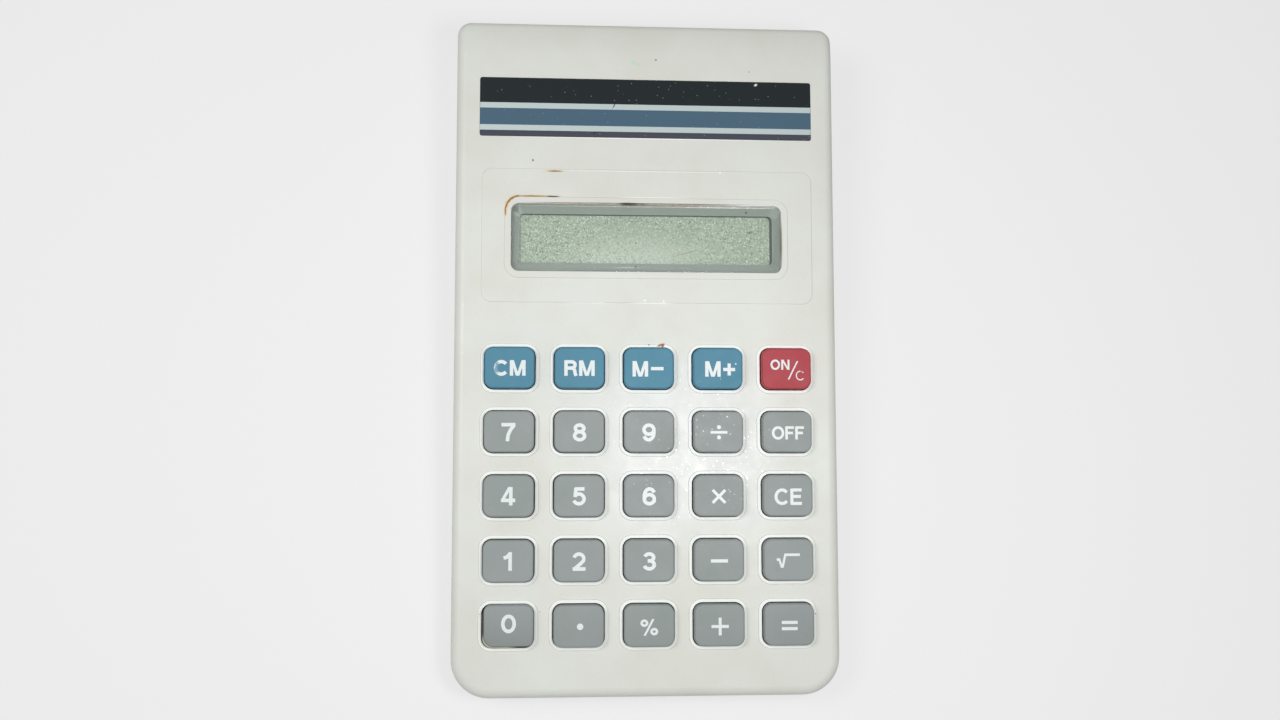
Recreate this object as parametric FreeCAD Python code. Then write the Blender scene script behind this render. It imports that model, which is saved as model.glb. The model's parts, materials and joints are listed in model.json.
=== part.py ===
"""Handheld electronic pocket calculator: a wedge-shaped two-part plastic case, a recessed liquid crystal
display, twenty-five sprung keys on a rubber dome mat, a circuit board and one AA cell behind a sliding door.

Frame: millimetres, +Z up, the flat base on Z = 0, +X to the reader's right, +Y towards the display end.
The front face rises towards +Y. Whatever lies parallel to that face is drawn flat first, with the face at
Z = 0 and the inside of the case below it, and is then laid onto the slope by on_face().
"""
import FreeCAD, Part
import math
import os

from FreeCAD import Placement, Rotation, Vector

# ------------------------------------------------------------------ driving sizes, in millimetres
# Case walls and edges. Its width and length follow from what the face holds, its height from the inside.
case_wall = 1.8
face_thickness = 1.8
base_thickness = 2.0
front_case_depth = 5.6
high_corner_radius = 2.6
low_corner_radius = 7.0
face_edge_radius = 1.8
nose_length = 6.0
nose_drop = 1.2
base_edge_radius = 1.2
seam_groove = 0.3
lip_height = 1.0
lip_thickness = 0.7

# Margins on the face, from the low end up and at the sides
low_boss_gap = 0.35
keys_to_panel_gap = 8.25
panel_to_nameplate_gap = 6.15
high_margin = 11.1
key_left_margin = 5.55
key_right_margin = 5.15
panel_side_margin = 4.7
nameplate_side_margin = 4.4

# Striped nameplate near the high end
nameplate_length = 11.1
nameplate_radius = 0.4
nameplate_thickness = 0.25
nameplate_sink = 0.05

# Display: raised panel, rim, clear window, grey border and the cell behind them
panel_length = 25.0
panel_radius = 1.9
panel_height = 0.2
panel_edge_round = 0.14
window_side_margin = 5.65
window_end_margin = 6.2
window_drop = 0.4
window_radius = 1.4
window_thickness = 1.0
window_sink = 0.15
window_edge_round = 0.1
rim_width = 1.3
rim_height = 0.2
rim_edge_round = 0.18
border_side = 1.48
border_end = 1.68
border_thickness = 0.2
view_radius = 0.8
view_hide = 0.6
cell_side_border = 2.33
cell_end_border = 3.38
cell_glass = 0.7
cell_ledge = 2.8
polarizer_thickness = 0.2
reflector_thickness = 0.25
reflector_margin = 0.5
locating_rib_width = 1.0
locating_rib_height = 1.8
connector_length = 2.0
connector_inset = 1.0
connector_margin = 0.3

# Keys: five rows of five
key_columns = 5
key_rows = 5
key_pitch_x = 12.7
key_pitch_y = 11.6
key_hole_width = 9.5
key_hole_length = 7.9
key_hole_radius = 1.8
collar_width = 0.6
collar_height = 0.35
collar_round = 0.2
key_height = 2.1
key_edge_round = 0.35
key_gap = 0.2
key_flange_overlap = 0.5
key_flange_thickness = 0.8
key_travel = 1.0
zero_key = (4, 0)
zero_key_shift = 0.1

# Rubber dome mat and circuit board
dome_height = 1.7
dome_foot_radius = 3.6
dome_top_radius = 2.2
dome_wall = 0.6
mat_thickness = 0.8
mat_margin = 0.5
board_thickness = 1.2
board_side_gap = 2.0
board_high_margin = 3.2
under_board_room = 2.45
chip_radius = 7.0
chip_height = 1.8
chip_from_display = 16.0
capacitor_radius = 2.5
capacitor_length = 7.0
resistor_radius = 0.9
resistor_length = 3.6
resistor_spacing = 4.5
lead_radius = 0.25
lead_reach = 1.4

# Screws
case_screw_radius = 1.1
case_screw_head_radius = 1.9
case_screw_head_height = 1.4
case_screw_tip_gap = 1.0
case_boss_radius = 2.5
case_post_radius = 3.2
case_post_floor = 2.0
high_boss_gap = 1.7
board_screw_radius = 0.8
board_screw_head_radius = 1.5
board_screw_head_height = 0.9
board_screw_tip_gap = 0.35
board_boss_radius = 1.8
board_boss_gap = 0.7
high_board_screw_inset = 3.0
screw_head_round = 0.4
screw_tip_radius = 0.25
driver_slot_width = 0.5
driver_slot_depth = 0.6
driver_slot_end = 0.5

# Battery bay: one AA cell lying across the high end
battery_radius = 7.25
battery_length = 50.5
battery_nub_radius = 2.7
battery_nub_length = 1.2
battery_rim_round = 0.7
battery_end_gap = 0.5
battery_side_gap = 0.4
battery_head_room = 1.8
contact_thickness = 0.4
contact_width = 10.0
contact_height = 12.0
contact_wall = 1.5
spring_length = 4.0
spring_wire_radius = 0.35
spring_foot_radius = 3.6
spring_tip_radius = 2.9
spring_turns = 3.0
spring_points_per_turn = 16
bay_wall = 1.2
wire_radius = 0.5
wire_rise = 2.5
wire_notch = 2.4
wire_landing = 5.0
wire_drop = 2.0
wire_bend_radius = 1.5

# Battery door
door_end_margin = 2.25
door_step = 0.2
door_tongue = 1.2
door_tongue_thickness = 0.7
door_tongue_lift = 0.6
grip_count = 5
grip_length = 14.0
grip_width = 0.8
grip_depth = 0.4
grip_pitch = 1.9
grip_from_end = 4.0

# Clearances
fit_gap = 0.05
loose_gap = 0.15
curved_gap = 0.3
thread_gap = 0.03
through_gap = 0.25
overcut = 1.0
quarter_turn = 90

# ------------------------------------------------------------------ sizes that follow
flange_width = key_hole_width + 2 * key_flange_overlap
flange_length = key_hole_length + 2 * key_flange_overlap
key_span_x = (key_columns - 1) * key_pitch_x
key_span_y = (key_rows - 1) * key_pitch_y
mat_width = key_span_x + flange_width + 2 * mat_margin
mat_length = key_span_y + flange_length + 2 * mat_margin

# Along the face, from the low end up
low_screw_inset = case_wall + case_post_radius + curved_gap
mat_from_low_end = low_screw_inset + case_boss_radius + low_boss_gap
keys_top = mat_from_low_end + mat_length - mat_margin - key_flange_overlap
panel_from_low_end = keys_top + keys_to_panel_gap
nameplate_from_low_end = panel_from_low_end + panel_length + panel_to_nameplate_gap
case_length = nameplate_from_low_end + nameplate_length + high_margin
case_width = key_span_x + key_hole_width + key_left_margin + key_right_margin
high_end = case_length / 2
low_end = -case_length / 2
inner_half_width = case_width / 2 - case_wall
nose_start = high_end - nose_length
nose_radius = (nose_length ** 2 + nose_drop ** 2) / (2 * nose_drop)

key_field_x = (key_left_margin - key_right_margin) / 2
key_field_y = low_end + mat_from_low_end + mat_length / 2
panel_width = case_width - 2 * panel_side_margin
panel_y = low_end + panel_from_low_end + panel_length / 2
nameplate_width = case_width - 2 * nameplate_side_margin
nameplate_y = low_end + nameplate_from_low_end + nameplate_length / 2
window_width = panel_width - 2 * window_side_margin
window_length = panel_length - 2 * window_end_margin
window_y = panel_y - window_drop
view_width = window_width - 2 * border_side
view_length = window_length - 2 * border_end
cell_width = view_width + 2 * cell_side_border
cell_length = view_length + 2 * cell_end_border
connector_width = cell_width - 2 * connector_inset

# Down through the face
rim_top = panel_height + rim_height
window_top = panel_height - window_sink
window_floor = window_top - window_thickness
border_floor = window_floor - border_thickness
glass_top = -face_thickness
glass_joint = glass_top - cell_glass
glass_floor = glass_joint - cell_glass
flange_top = -face_thickness - fit_gap
flange_floor = flange_top - key_flange_thickness
mat_top = flange_floor - dome_height
board_top = mat_top - mat_thickness
board_floor = board_top - board_thickness
seam_level = -front_case_depth
post_top = board_floor - curved_gap - loose_gap
screw_seat = post_top - case_post_floor
case_screw_length = glass_top - screw_seat - case_screw_tip_gap
board_screw_length = glass_top - board_floor - board_screw_tip_gap

# Board and screws on the plan
board_width = 2 * (inner_half_width - board_side_gap)
board_low = low_end + mat_from_low_end
board_high = window_y + cell_length / 2 + board_high_margin
low_screw_x = case_width / 2 - low_corner_radius - case_wall
high_screw_x = inner_half_width - case_post_radius - curved_gap
high_screw_y = board_high + case_boss_radius + high_boss_gap
high_board_screw_x = cell_width / 2 + locating_rib_width + board_boss_gap + board_boss_radius

# Heights over the base, the slope between them, and the battery under it
door_thickness = base_thickness - door_step
low_end_height = under_board_room + base_thickness - board_floor
high_end_height = door_thickness + curved_gap + 2 * battery_radius + battery_head_room + face_thickness
tilt = math.asin((high_end_height - low_end_height) / case_length)
mid_height = (low_end_height + high_end_height) / 2
battery_z = door_thickness + curved_gap + battery_radius
high_wall_y = (high_end * math.cos(tilt) + (mid_height + high_end * math.sin(tilt) - battery_z)
               * math.tan(tilt) - case_wall / math.cos(tilt))
battery_y = high_wall_y - battery_end_gap - battery_radius
bay_y = battery_y - battery_radius - battery_side_gap
positive_x = battery_length / 2
negative_x = -battery_length / 2
spring_foot_x = negative_x - spring_length
positive_wire_x = positive_x - wire_radius - 2 * fit_gap
negative_wire_x = spring_foot_x + wire_radius + 2 * fit_gap
wire_z = battery_z + wire_rise
door_width = battery_length + 2 * door_end_margin
reach = case_length

face_placement = Placement(Vector(0, 0, mid_height), Rotation(Vector(1, 0, 0), math.degrees(tilt)))


# ------------------------------------------------------------------ drawing helpers
def outline(width, length, low_radius, high_radius, height=0.0, x=0.0, y=0.0):
    """A closed rectangle with arcs at its corners, one radius at each end."""
    wire_edges = []
    half_width = width / 2
    half_length = length / 2
    corners = [
        (half_width, half_length, high_radius, 0),
        (-half_width, half_length, high_radius, quarter_turn),
        (-half_width, -half_length, low_radius, 2 * quarter_turn),
        (half_width, -half_length, low_radius, 3 * quarter_turn),
    ]
    arcs = []
    for corner_x, corner_y, radius, start in corners:
        centre = Vector(x + corner_x - math.copysign(radius, corner_x),
                        y + corner_y - math.copysign(radius, corner_y), height)
        circle = Part.Circle(centre, Vector(0, 0, 1), radius)
        arcs.append(Part.ArcOfCircle(circle, math.radians(start), math.radians(start + quarter_turn)))
    for arc, following in zip(arcs, arcs[1:] + arcs[:1]):
        wire_edges.append(arc.toShape())
        wire_edges.append(Part.LineSegment(arc.EndPoint, following.StartPoint).toShape())
    return Part.Wire(wire_edges)


def rounded_block(width, length, radius, low, high, x=0.0, y=0.0):
    """A block with rounded upright edges between two heights."""
    face = Part.Face(outline(width, length, radius, radius, low, x, y))
    return face.extrude(Vector(0, 0, high - low))


def case_block(inset, low, high):
    """The case's own outline, drawn in by an inset, between two heights."""
    low_radius = max(low_corner_radius - inset, fit_gap)
    high_radius = max(high_corner_radius - inset, fit_gap)
    face = Part.Face(outline(case_width - 2 * inset, case_length - 2 * inset, low_radius, high_radius, low))
    return face.extrude(Vector(0, 0, high - low))


def box(x_range, y_range, z_range):
    """A plain box between two values on each axis."""
    size = [high - low for low, high in (x_range, y_range, z_range)]
    return Part.makeBox(*size, Vector(x_range[0], y_range[0], z_range[0]))


def rod(radius, low, high, x=0.0, y=0.0):
    """An upright round bar between two heights."""
    return Part.makeCylinder(radius, high - low, Vector(x, y, low), Vector(0, 0, 1))


def bar_x(radius, x_low, x_high, y, z):
    """A round bar along X."""
    return Part.makeCylinder(radius, x_high - x_low, Vector(x_low, y, z), Vector(1, 0, 0))


def round_level(solid, radius, level):
    """Round every edge of a solid that lies at one height."""
    edges = [edge for edge in solid.Edges
             if all(abs(vertex.Z - level) < 1e-6 for vertex in edge.Vertexes)]
    return solid.makeFillet(radius, edges)


def round_top(solid, radius):
    """Round the edges of a solid's highest face."""
    return round_level(solid, radius, max(vertex.Z for vertex in solid.Vertexes))


def round_bottom(solid, radius):
    """Round the edges of a solid's lowest face."""
    return round_level(solid, radius, min(vertex.Z for vertex in solid.Vertexes))


def on_face(solid):
    """Lay a solid that was drawn flat onto the sloping front face."""
    return solid.transformed(face_placement.toMatrix(), True)


def bent_wire(points, radius, bend_radius):
    """A round wire along straight runs that are joined by tangent arcs."""
    edges = []
    start = points[0]
    for before, corner, after in zip(points, points[1:], points[2:]):
        incoming = (corner - before).normalize()
        outgoing = (after - corner).normalize()
        turn = incoming.getAngle(outgoing)
        setback = bend_radius * math.tan(turn / 2)
        arc_start = corner - incoming * setback
        arc_end = corner + outgoing * setback
        bisector = (outgoing - incoming).normalize()
        centre = corner + bisector * (bend_radius / math.cos(turn / 2))
        middle = centre - bisector * bend_radius
        edges.append(Part.LineSegment(start, arc_start).toShape())
        edges.append(Part.Arc(arc_start, middle, arc_end).toShape())
        start = arc_end
    edges.append(Part.LineSegment(start, points[-1]).toShape())
    path = Part.Wire(edges)
    profile = Part.Wire([Part.Circle(points[0], points[1] - points[0], radius).toShape()])
    return path.makePipeShell([profile], True, True)


# ------------------------------------------------------------------ places that repeat
def key_place(row, column):
    """The centre of a key's hole on the face. Row 0 is nearest the display."""
    x = key_field_x + (column - (key_columns - 1) / 2) * key_pitch_x
    y = key_field_y + ((key_rows - 1) / 2 - row) * key_pitch_y
    return x, y


def key_places():
    """Every key's place, row by row."""
    return [key_place(row, column) for row in range(key_rows) for column in range(key_columns)]


def case_screw_places():
    """Four screws: two at the low end and two between the display and the battery."""
    low_y = low_end + low_screw_inset
    return [(-low_screw_x, low_y), (low_screw_x, low_y),
            (-high_screw_x, high_screw_y), (high_screw_x, high_screw_y)]


def board_screw_places():
    """Four screws where four keys meet, and two beside the display."""
    places = []
    for row in (0, key_rows - 2):
        upper_y = key_place(row, 0)[1]
        for column in (0, key_columns - 2):
            x = key_place(row, column)[0] + key_pitch_x / 2
            places.append((x, upper_y - key_pitch_y / 2))
    high_y = board_high - high_board_screw_inset
    places.append((-high_board_screw_x, high_y))
    places.append((high_board_screw_x, high_y))
    return places


# ------------------------------------------------------------------ case
def nose_height(y):
    """How low the face lies at one place along the case, because it rolls down over its high end."""
    return math.sqrt(nose_radius ** 2 - max(y - nose_start, 0) ** 2) - nose_radius


def nosed_block():
    """The front half's outer form: a flat face that rolls down over the high end, with rounded edges."""
    past_end = high_end + overcut
    before_start = low_end - overcut
    flat = Vector(-reach, nose_start, 0)
    rolling = Vector(-reach, (nose_start + past_end) / 2, nose_height((nose_start + past_end) / 2))
    rolled = Vector(-reach, past_end, nose_height(past_end))
    corners = [rolled, Vector(-reach, past_end, seam_level), Vector(-reach, before_start, seam_level),
               Vector(-reach, before_start, 0), flat]
    edges = [Part.LineSegment(start, end).toShape() for start, end in zip(corners, corners[1:])]
    edges.append(Part.Arc(flat, rolling, rolled).toShape())
    slab = Part.Face(Part.Wire(edges)).extrude(Vector(2 * reach, 0, 0))
    block = case_block(0, seam_level, overcut).common(slab).Solids[0]
    rim = [edge for edge in block.Edges
           if all(vertex.Z > -nose_drop - fit_gap for vertex in edge.Vertexes)
           and any(vertex.Y < nose_start - fit_gap or vertex.Y > nose_start + fit_gap
                   for vertex in edge.Vertexes)]
    return block.makeFillet(face_edge_radius, rim)


def make_front_case():
    """The tray-shaped front half, with collared key holes, the display panel and screw bosses."""
    shell = nosed_block()
    sunk = -face_thickness / 2
    raised = [round_top(rounded_block(panel_width, panel_length, panel_radius, sunk, panel_height,
                                      key_field_x, panel_y), panel_edge_round)]
    raised.append(round_top(rounded_block(window_width + 2 * rim_width, window_length + 2 * rim_width,
                                          window_radius + rim_width, sunk, rim_top, 0, window_y),
                            rim_edge_round))
    for x, y in key_places():
        raised.append(round_top(rounded_block(key_hole_width + 2 * collar_width,
                                              key_hole_length + 2 * collar_width,
                                              key_hole_radius + collar_width, sunk, collar_height, x, y),
                                collar_round))
    shell = shell.fuse(raised)

    window_pocket = rounded_block(window_width + 2 * fit_gap, window_length + 2 * fit_gap,
                                  window_radius + fit_gap, border_floor, rim_top + overcut, 0, window_y)
    view_opening = rounded_block(view_width + 2 * view_hide, view_length + 2 * view_hide,
                                 view_radius + view_hide, -face_thickness - overcut, rim_top, 0, window_y)
    plate_recess = rounded_block(nameplate_width + 2 * fit_gap, nameplate_length + 2 * fit_gap,
                                 nameplate_radius + fit_gap, -nameplate_thickness - nameplate_sink, overcut,
                                 0, nameplate_y)
    hollow = case_block(case_wall, seam_level - overcut, -face_thickness)
    lip_rebate = case_block(case_wall - lip_thickness - fit_gap, seam_level - overcut,
                            seam_level + lip_height + loose_gap)
    seam_band = case_block(-overcut, seam_level - overcut, seam_level + seam_groove)
    seam_band = seam_band.cut(case_block(seam_groove, seam_level - 2 * overcut, seam_level + overcut))
    holes = [rounded_block(key_hole_width, key_hole_length, key_hole_radius, -face_thickness - overcut,
                           collar_height + overcut, x, y) for x, y in key_places()]
    shell = shell.cut([window_pocket, view_opening, plate_recess, hollow, lip_rebate, seam_band] + holes)

    ribs = rounded_block(cell_width + 2 * (fit_gap + locating_rib_width),
                         cell_length + 2 * (fit_gap + locating_rib_width), locating_rib_width,
                         glass_top - locating_rib_height, sunk, 0, window_y)
    ribs = ribs.cut(rounded_block(cell_width + 2 * fit_gap, cell_length + 2 * fit_gap, fit_gap,
                                  glass_top - locating_rib_height - overcut, overcut,
                                  0, window_y))
    added = [ribs]
    pilots = []
    for x, y in case_screw_places():
        added.append(rod(case_boss_radius, post_top, sunk, x, y))
        pilots.append(rod(case_screw_radius + thread_gap, post_top - overcut, -face_thickness, x, y))
    for x, y in board_screw_places():
        added.append(rod(board_boss_radius, board_top, sunk, x, y))
        pilots.append(rod(board_screw_radius + thread_gap, board_top - overcut, -face_thickness, x, y))
    return on_face(shell.fuse(added).cut(pilots))


def wedge_outside():
    """The rear half's outer form: the case outline below the seam, cut level at the base."""
    block = on_face(case_block(0, -reach, seam_level))
    above_base = box((-reach, reach), (-2 * reach, 2 * reach), (0, reach))
    return round_bottom(block.common(above_base).Solids[0], base_edge_radius)


def door_region(gap):
    """The space in the base that the battery door fills, drawn in by a gap, with its side tongues."""
    half_width = door_width / 2 - gap
    y_range = (bay_y + gap, reach + high_end)
    panel = box((-half_width, half_width), y_range, (-overcut, door_thickness - fit_gap))
    low = door_tongue_lift + fit_gap
    tongue_end = high_wall_y - gap
    tongues = box((-half_width - door_tongue, half_width + door_tongue), (bay_y + gap, tongue_end),
                  (low, low + door_tongue_thickness))
    return panel, tongues


def make_rear_case():
    """The wedge-shaped rear half, with screw posts, battery bay walls and the door's opening."""
    hollow = on_face(case_block(case_wall, -reach, seam_level + overcut))
    hollow = hollow.common(box((-reach, reach), (-2 * reach, 2 * reach), (base_thickness, reach)))
    shell = wedge_outside().cut(hollow)
    lip = case_block(case_wall - lip_thickness, seam_level - lip_height, seam_level + lip_height)
    lip = lip.cut(case_block(case_wall, seam_level - lip_height - overcut,
                             seam_level + lip_height + overcut))

    inside = on_face(case_block(case_wall / 2, -reach, board_floor - curved_gap))
    inside = inside.common(box((-reach, reach), (-2 * reach, 2 * reach), (base_thickness / 2, reach)))
    above_seam = on_face(case_block(case_wall + fit_gap, -reach, -face_thickness - curved_gap))
    above_seam = above_seam.common(box((-reach, reach), (0, 2 * reach), (base_thickness / 2, reach)))

    added = [on_face(lip)]
    for x, y in case_screw_places():
        added.append(on_face(rod(case_post_radius, -reach, post_top, x, y)).common(inside))
    for wall in bay_walls():
        added.append(wall.common(above_seam))
    shell = shell.fuse(added)

    cuts = []
    for x, y in case_screw_places():
        cuts.append(on_face(rod(case_screw_head_radius + through_gap, -reach, screw_seat, x, y)))
        cuts.append(on_face(rod(case_screw_radius + loose_gap, -reach, post_top + overcut, x, y)))
    for x in (negative_wire_x, positive_wire_x):
        cuts.append(box((x - wire_notch / 2, x + wire_notch / 2), (bay_y - bay_wall - overcut, bay_y),
                        (wire_z - 2 * wire_radius, reach)))
    panel_space = box((-door_width / 2, door_width / 2), (bay_y, reach + high_end),
                      (-overcut, door_thickness))
    tongue_half = door_width / 2 + door_tongue
    tongue_space = box((-tongue_half, tongue_half), (bay_y, reach + high_end),
                       (door_tongue_lift, door_tongue_lift + door_tongue_thickness + loose_gap))
    cuts.append(panel_space)
    cuts.append(tongue_space)
    return shell.cut(cuts)


def bay_walls():
    """The walls that box in the AA cell and hold its two contact plates upright."""
    rise = (door_thickness + curved_gap, reach)
    across = (-inner_half_width - case_wall / 2, inner_half_width + case_wall / 2)
    front_wall = box(across, (bay_y - bay_wall, bay_y), (base_thickness / 2, reach))
    to_high_end = (bay_y - bay_wall, high_wall_y + overcut)
    plus_x = positive_x + contact_thickness
    minus_x = spring_foot_x - contact_thickness
    walls = [front_wall]
    walls.append(box((plus_x, plus_x + contact_wall), to_high_end, rise))
    walls.append(box((minus_x - contact_wall, minus_x), to_high_end, rise))
    guide_reach = contact_width / 2 + fit_gap
    for low_y, high_y in ((bay_y - bay_wall, battery_y - guide_reach),
                          (battery_y + guide_reach, high_wall_y + overcut)):
        walls.append(box((positive_x - fit_gap, plus_x + contact_wall), (low_y, high_y), rise))
        walls.append(box((minus_x - contact_wall, spring_foot_x + fit_gap), (low_y, high_y), rise))
    return walls


def make_battery_door():
    """The sliding door, cut from the same wedge, so its end carries the case's rounded edge."""
    panel, tongues = door_region(loose_gap)
    solid = wedge_outside().common(panel)
    solid = solid.fuse(tongues)
    end_y = solid.BoundBox.YMax
    grooves = []
    for index in range(grip_count):
        y = end_y - grip_from_end - index * grip_pitch
        groove = box((-grip_length / 2, grip_length / 2), (y - grip_width / 2, y + grip_width / 2),
                     (-overcut, grip_depth))
        grooves.append(groove)
    return solid.cut(grooves)


# ------------------------------------------------------------------ nameplate and display
def make_nameplate():
    """The thin striped plate in its recess."""
    plate = rounded_block(nameplate_width, nameplate_length, nameplate_radius,
                          -nameplate_thickness - nameplate_sink, -nameplate_sink, 0, nameplate_y)
    return on_face(plate)


def make_display_window():
    """The clear moulded window."""
    pane = rounded_block(window_width, window_length, window_radius, window_floor, window_top, 0, window_y)
    return on_face(round_top(pane, window_edge_round))


def make_display_border():
    """The grey border that is seen through the window's edge."""
    frame = rounded_block(window_width, window_length, window_radius, border_floor, window_floor,
                          0, window_y)
    opening = rounded_block(view_width, view_length, view_radius, border_floor - overcut,
                            window_floor + overcut, 0, window_y)
    return on_face(frame.cut(opening))


def make_lcd_front_polarizer():
    """The film on the display cell's front."""
    margin = view_hide - loose_gap
    film = rounded_block(view_width + 2 * margin, view_length + 2 * margin, view_radius + margin,
                         glass_top, glass_top + polarizer_thickness, 0, window_y)
    return on_face(film)


def cell_range():
    """The display cell's extent along Y."""
    return window_y - cell_length / 2, window_y + cell_length / 2


def make_lcd_front_glass():
    """The larger glass, whose upper ledge carries the contacts."""
    return on_face(box((-cell_width / 2, cell_width / 2), cell_range(), (glass_joint, glass_top)))


def make_lcd_rear_glass():
    """The smaller glass behind it."""
    low_y, high_y = cell_range()
    return on_face(box((-cell_width / 2, cell_width / 2), (low_y, high_y - cell_ledge),
                       (glass_floor, glass_joint)))


def make_lcd_reflector():
    """The pale reflecting film that gives the display its colour."""
    low_y, high_y = cell_range()
    margin = reflector_margin
    film = box((-view_width / 2 - margin, view_width / 2 + margin),
               (low_y + connector_length + 2 * connector_margin, high_y - cell_ledge - connector_margin / 2),
               (glass_floor - reflector_thickness, glass_floor))
    return on_face(film)


def make_zebra_connector():
    """The striped rubber strip between the glass ledge and the board."""
    high_y = cell_range()[1] - connector_margin
    strip = box((-connector_width / 2, connector_width / 2), (high_y - connector_length, high_y),
                (board_top, glass_joint))
    return on_face(strip)


def make_lcd_support_strip():
    """The foam strip that carries the display's other edge."""
    low_y = cell_range()[0] + connector_margin
    strip = box((-connector_width / 2, connector_width / 2), (low_y, low_y + connector_length),
                (board_top, glass_floor))
    return on_face(strip)


# ------------------------------------------------------------------ keys, mat and board
def make_key(row, column):
    """One key: a rounded cap that stands proud of its collar, on a flange that keeps it in."""
    x, y = key_place(row, column)
    flange = rounded_block(flange_width, flange_length, key_hole_radius, flange_floor, flange_top, x, y)
    if (row, column) == zero_key:
        x += zero_key_shift
        y += zero_key_shift
    cap = rounded_block(key_hole_width - 2 * key_gap, key_hole_length - 2 * key_gap,
                        key_hole_radius - key_gap, flange_floor, key_height, x, y)
    return on_face(round_top(cap, key_edge_round).fuse(flange).removeSplitter())


def make_keypad_mat():
    """The rubber sheet with one hollow dome and contact plug under every key."""
    sheet = rounded_block(mat_width, mat_length, dome_wall, board_top, mat_top,
                          key_field_x, key_field_y)
    domes = []
    hollows = []
    for x, y in key_places():
        domes.append(Part.makeCone(dome_foot_radius, dome_top_radius, dome_height, Vector(x, y, mat_top)))
        hollows.append(Part.makeCone(dome_foot_radius - dome_wall, dome_top_radius - dome_wall / 2,
                                     key_travel, Vector(x, y, board_top)))
    bosses = [rod(board_boss_radius + curved_gap, board_top - overcut, mat_top + overcut, x, y)
              for x, y in board_screw_places()]
    return on_face(sheet.fuse(domes).cut(hollows + bosses))


def make_circuit_board():
    """The board under the whole key field and the display."""
    board = box((-board_width / 2, board_width / 2), (board_low, board_high), (board_floor, board_top))
    holes = [rod(board_screw_radius + loose_gap, board_floor - overcut, board_top + overcut, x, y)
             for x, y in board_screw_places()]
    return on_face(board.cut(holes))


def make_chip_blob():
    """The domed drop of epoxy over the bare chip."""
    sphere_radius = (chip_radius ** 2 + chip_height ** 2) / (2 * chip_height)
    y = window_y - chip_from_display
    centre_z = board_floor - chip_height + sphere_radius
    ball = Part.makeSphere(sphere_radius, Vector(0, y, centre_z))
    below_board = box((-reach, reach), (y - reach, y + reach), (board_floor - reach, board_floor))
    return on_face(ball.common(below_board))


def leaded_part(radius, length, x, y):
    """A round component lying under the board, with a bent lead at each end."""
    axis_z = board_floor - curved_gap - radius
    pieces = [bar_x(radius, x - length / 2, x + length / 2, y, axis_z)]
    for side in (-1, 1):
        end_x = x + side * (length / 2 + lead_reach)
        low_x, high_x = sorted((x, end_x))
        pieces.append(bar_x(lead_radius, low_x, high_x, y, axis_z))
        pieces.append(Part.makeSphere(lead_radius, Vector(end_x, y, axis_z)))
        pieces.append(rod(lead_radius, axis_z, board_floor, end_x, y))
    return on_face(pieces[0].fuse(pieces[1:]))


def make_capacitor():
    """The supply capacitor."""
    return leaded_part(capacitor_radius, capacitor_length, board_width / 4, window_y)


def make_resistors():
    """Two resistors side by side."""
    upper = leaded_part(resistor_radius, resistor_length, -board_width / 4, window_y + resistor_spacing / 2)
    lower = leaded_part(resistor_radius, resistor_length, -board_width / 4, window_y - resistor_spacing / 2)
    return Part.makeCompound([upper, lower])


# ------------------------------------------------------------------ screws
def screw(radius, length, head_radius, head_height, seat, x, y):
    """A cross-head screw that points up at the face, its head under the seat."""
    shank = rod(radius, seat, seat + length - radius, x, y)
    tip = Part.makeCone(radius, screw_tip_radius, radius, Vector(x, y, seat + length - radius))
    head = round_bottom(rod(head_radius, seat - head_height, seat, x, y), screw_head_round)
    head_floor = seat - head_height
    slot_reach = head_radius - driver_slot_end
    slots = []
    for angle in (0, quarter_turn):
        slot = box((-slot_reach, slot_reach), (-driver_slot_width / 2, driver_slot_width / 2),
                   (head_floor - overcut, head_floor + driver_slot_depth))
        slot.rotate(Vector(0, 0, 0), Vector(0, 0, 1), angle)
        slot.translate(Vector(x, y, 0))
        slots.append(slot)
    return on_face(head.fuse([shank, tip]).cut(slots))


def make_case_screws():
    """The four screws that close the case."""
    return Part.makeCompound([screw(case_screw_radius, case_screw_length, case_screw_head_radius,
                                    case_screw_head_height, screw_seat, x, y)
                              for x, y in case_screw_places()])


def make_board_screws():
    """The six screws that hold the board to the front case."""
    return Part.makeCompound([screw(board_screw_radius, board_screw_length, board_screw_head_radius,
                                    board_screw_head_height, board_floor, x, y)
                              for x, y in board_screw_places()])


# ------------------------------------------------------------------ battery and its contacts
def make_battery():
    """The AA cell, with its nub towards +X."""
    shoulder = positive_x - battery_nub_length
    can = bar_x(battery_radius, negative_x, shoulder, battery_y, battery_z)
    can = can.makeFillet(battery_rim_round, [edge for edge in can.Edges if edge.Closed])
    nub = bar_x(battery_nub_radius, shoulder - overcut, positive_x, battery_y, battery_z)
    return can.fuse(nub)


def contact_plate(x_low):
    """An upright spring-steel plate across the end of the battery bay."""
    low_z = door_thickness + curved_gap
    return box((x_low, x_low + contact_thickness), (battery_y - contact_width / 2,
               battery_y + contact_width / 2), (low_z, low_z + contact_height))


def make_positive_contact():
    """The plate that the cell's nub presses on."""
    return contact_plate(positive_x)


def make_negative_contact():
    """The plate behind the spring."""
    return contact_plate(spring_foot_x - contact_thickness)


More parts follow.
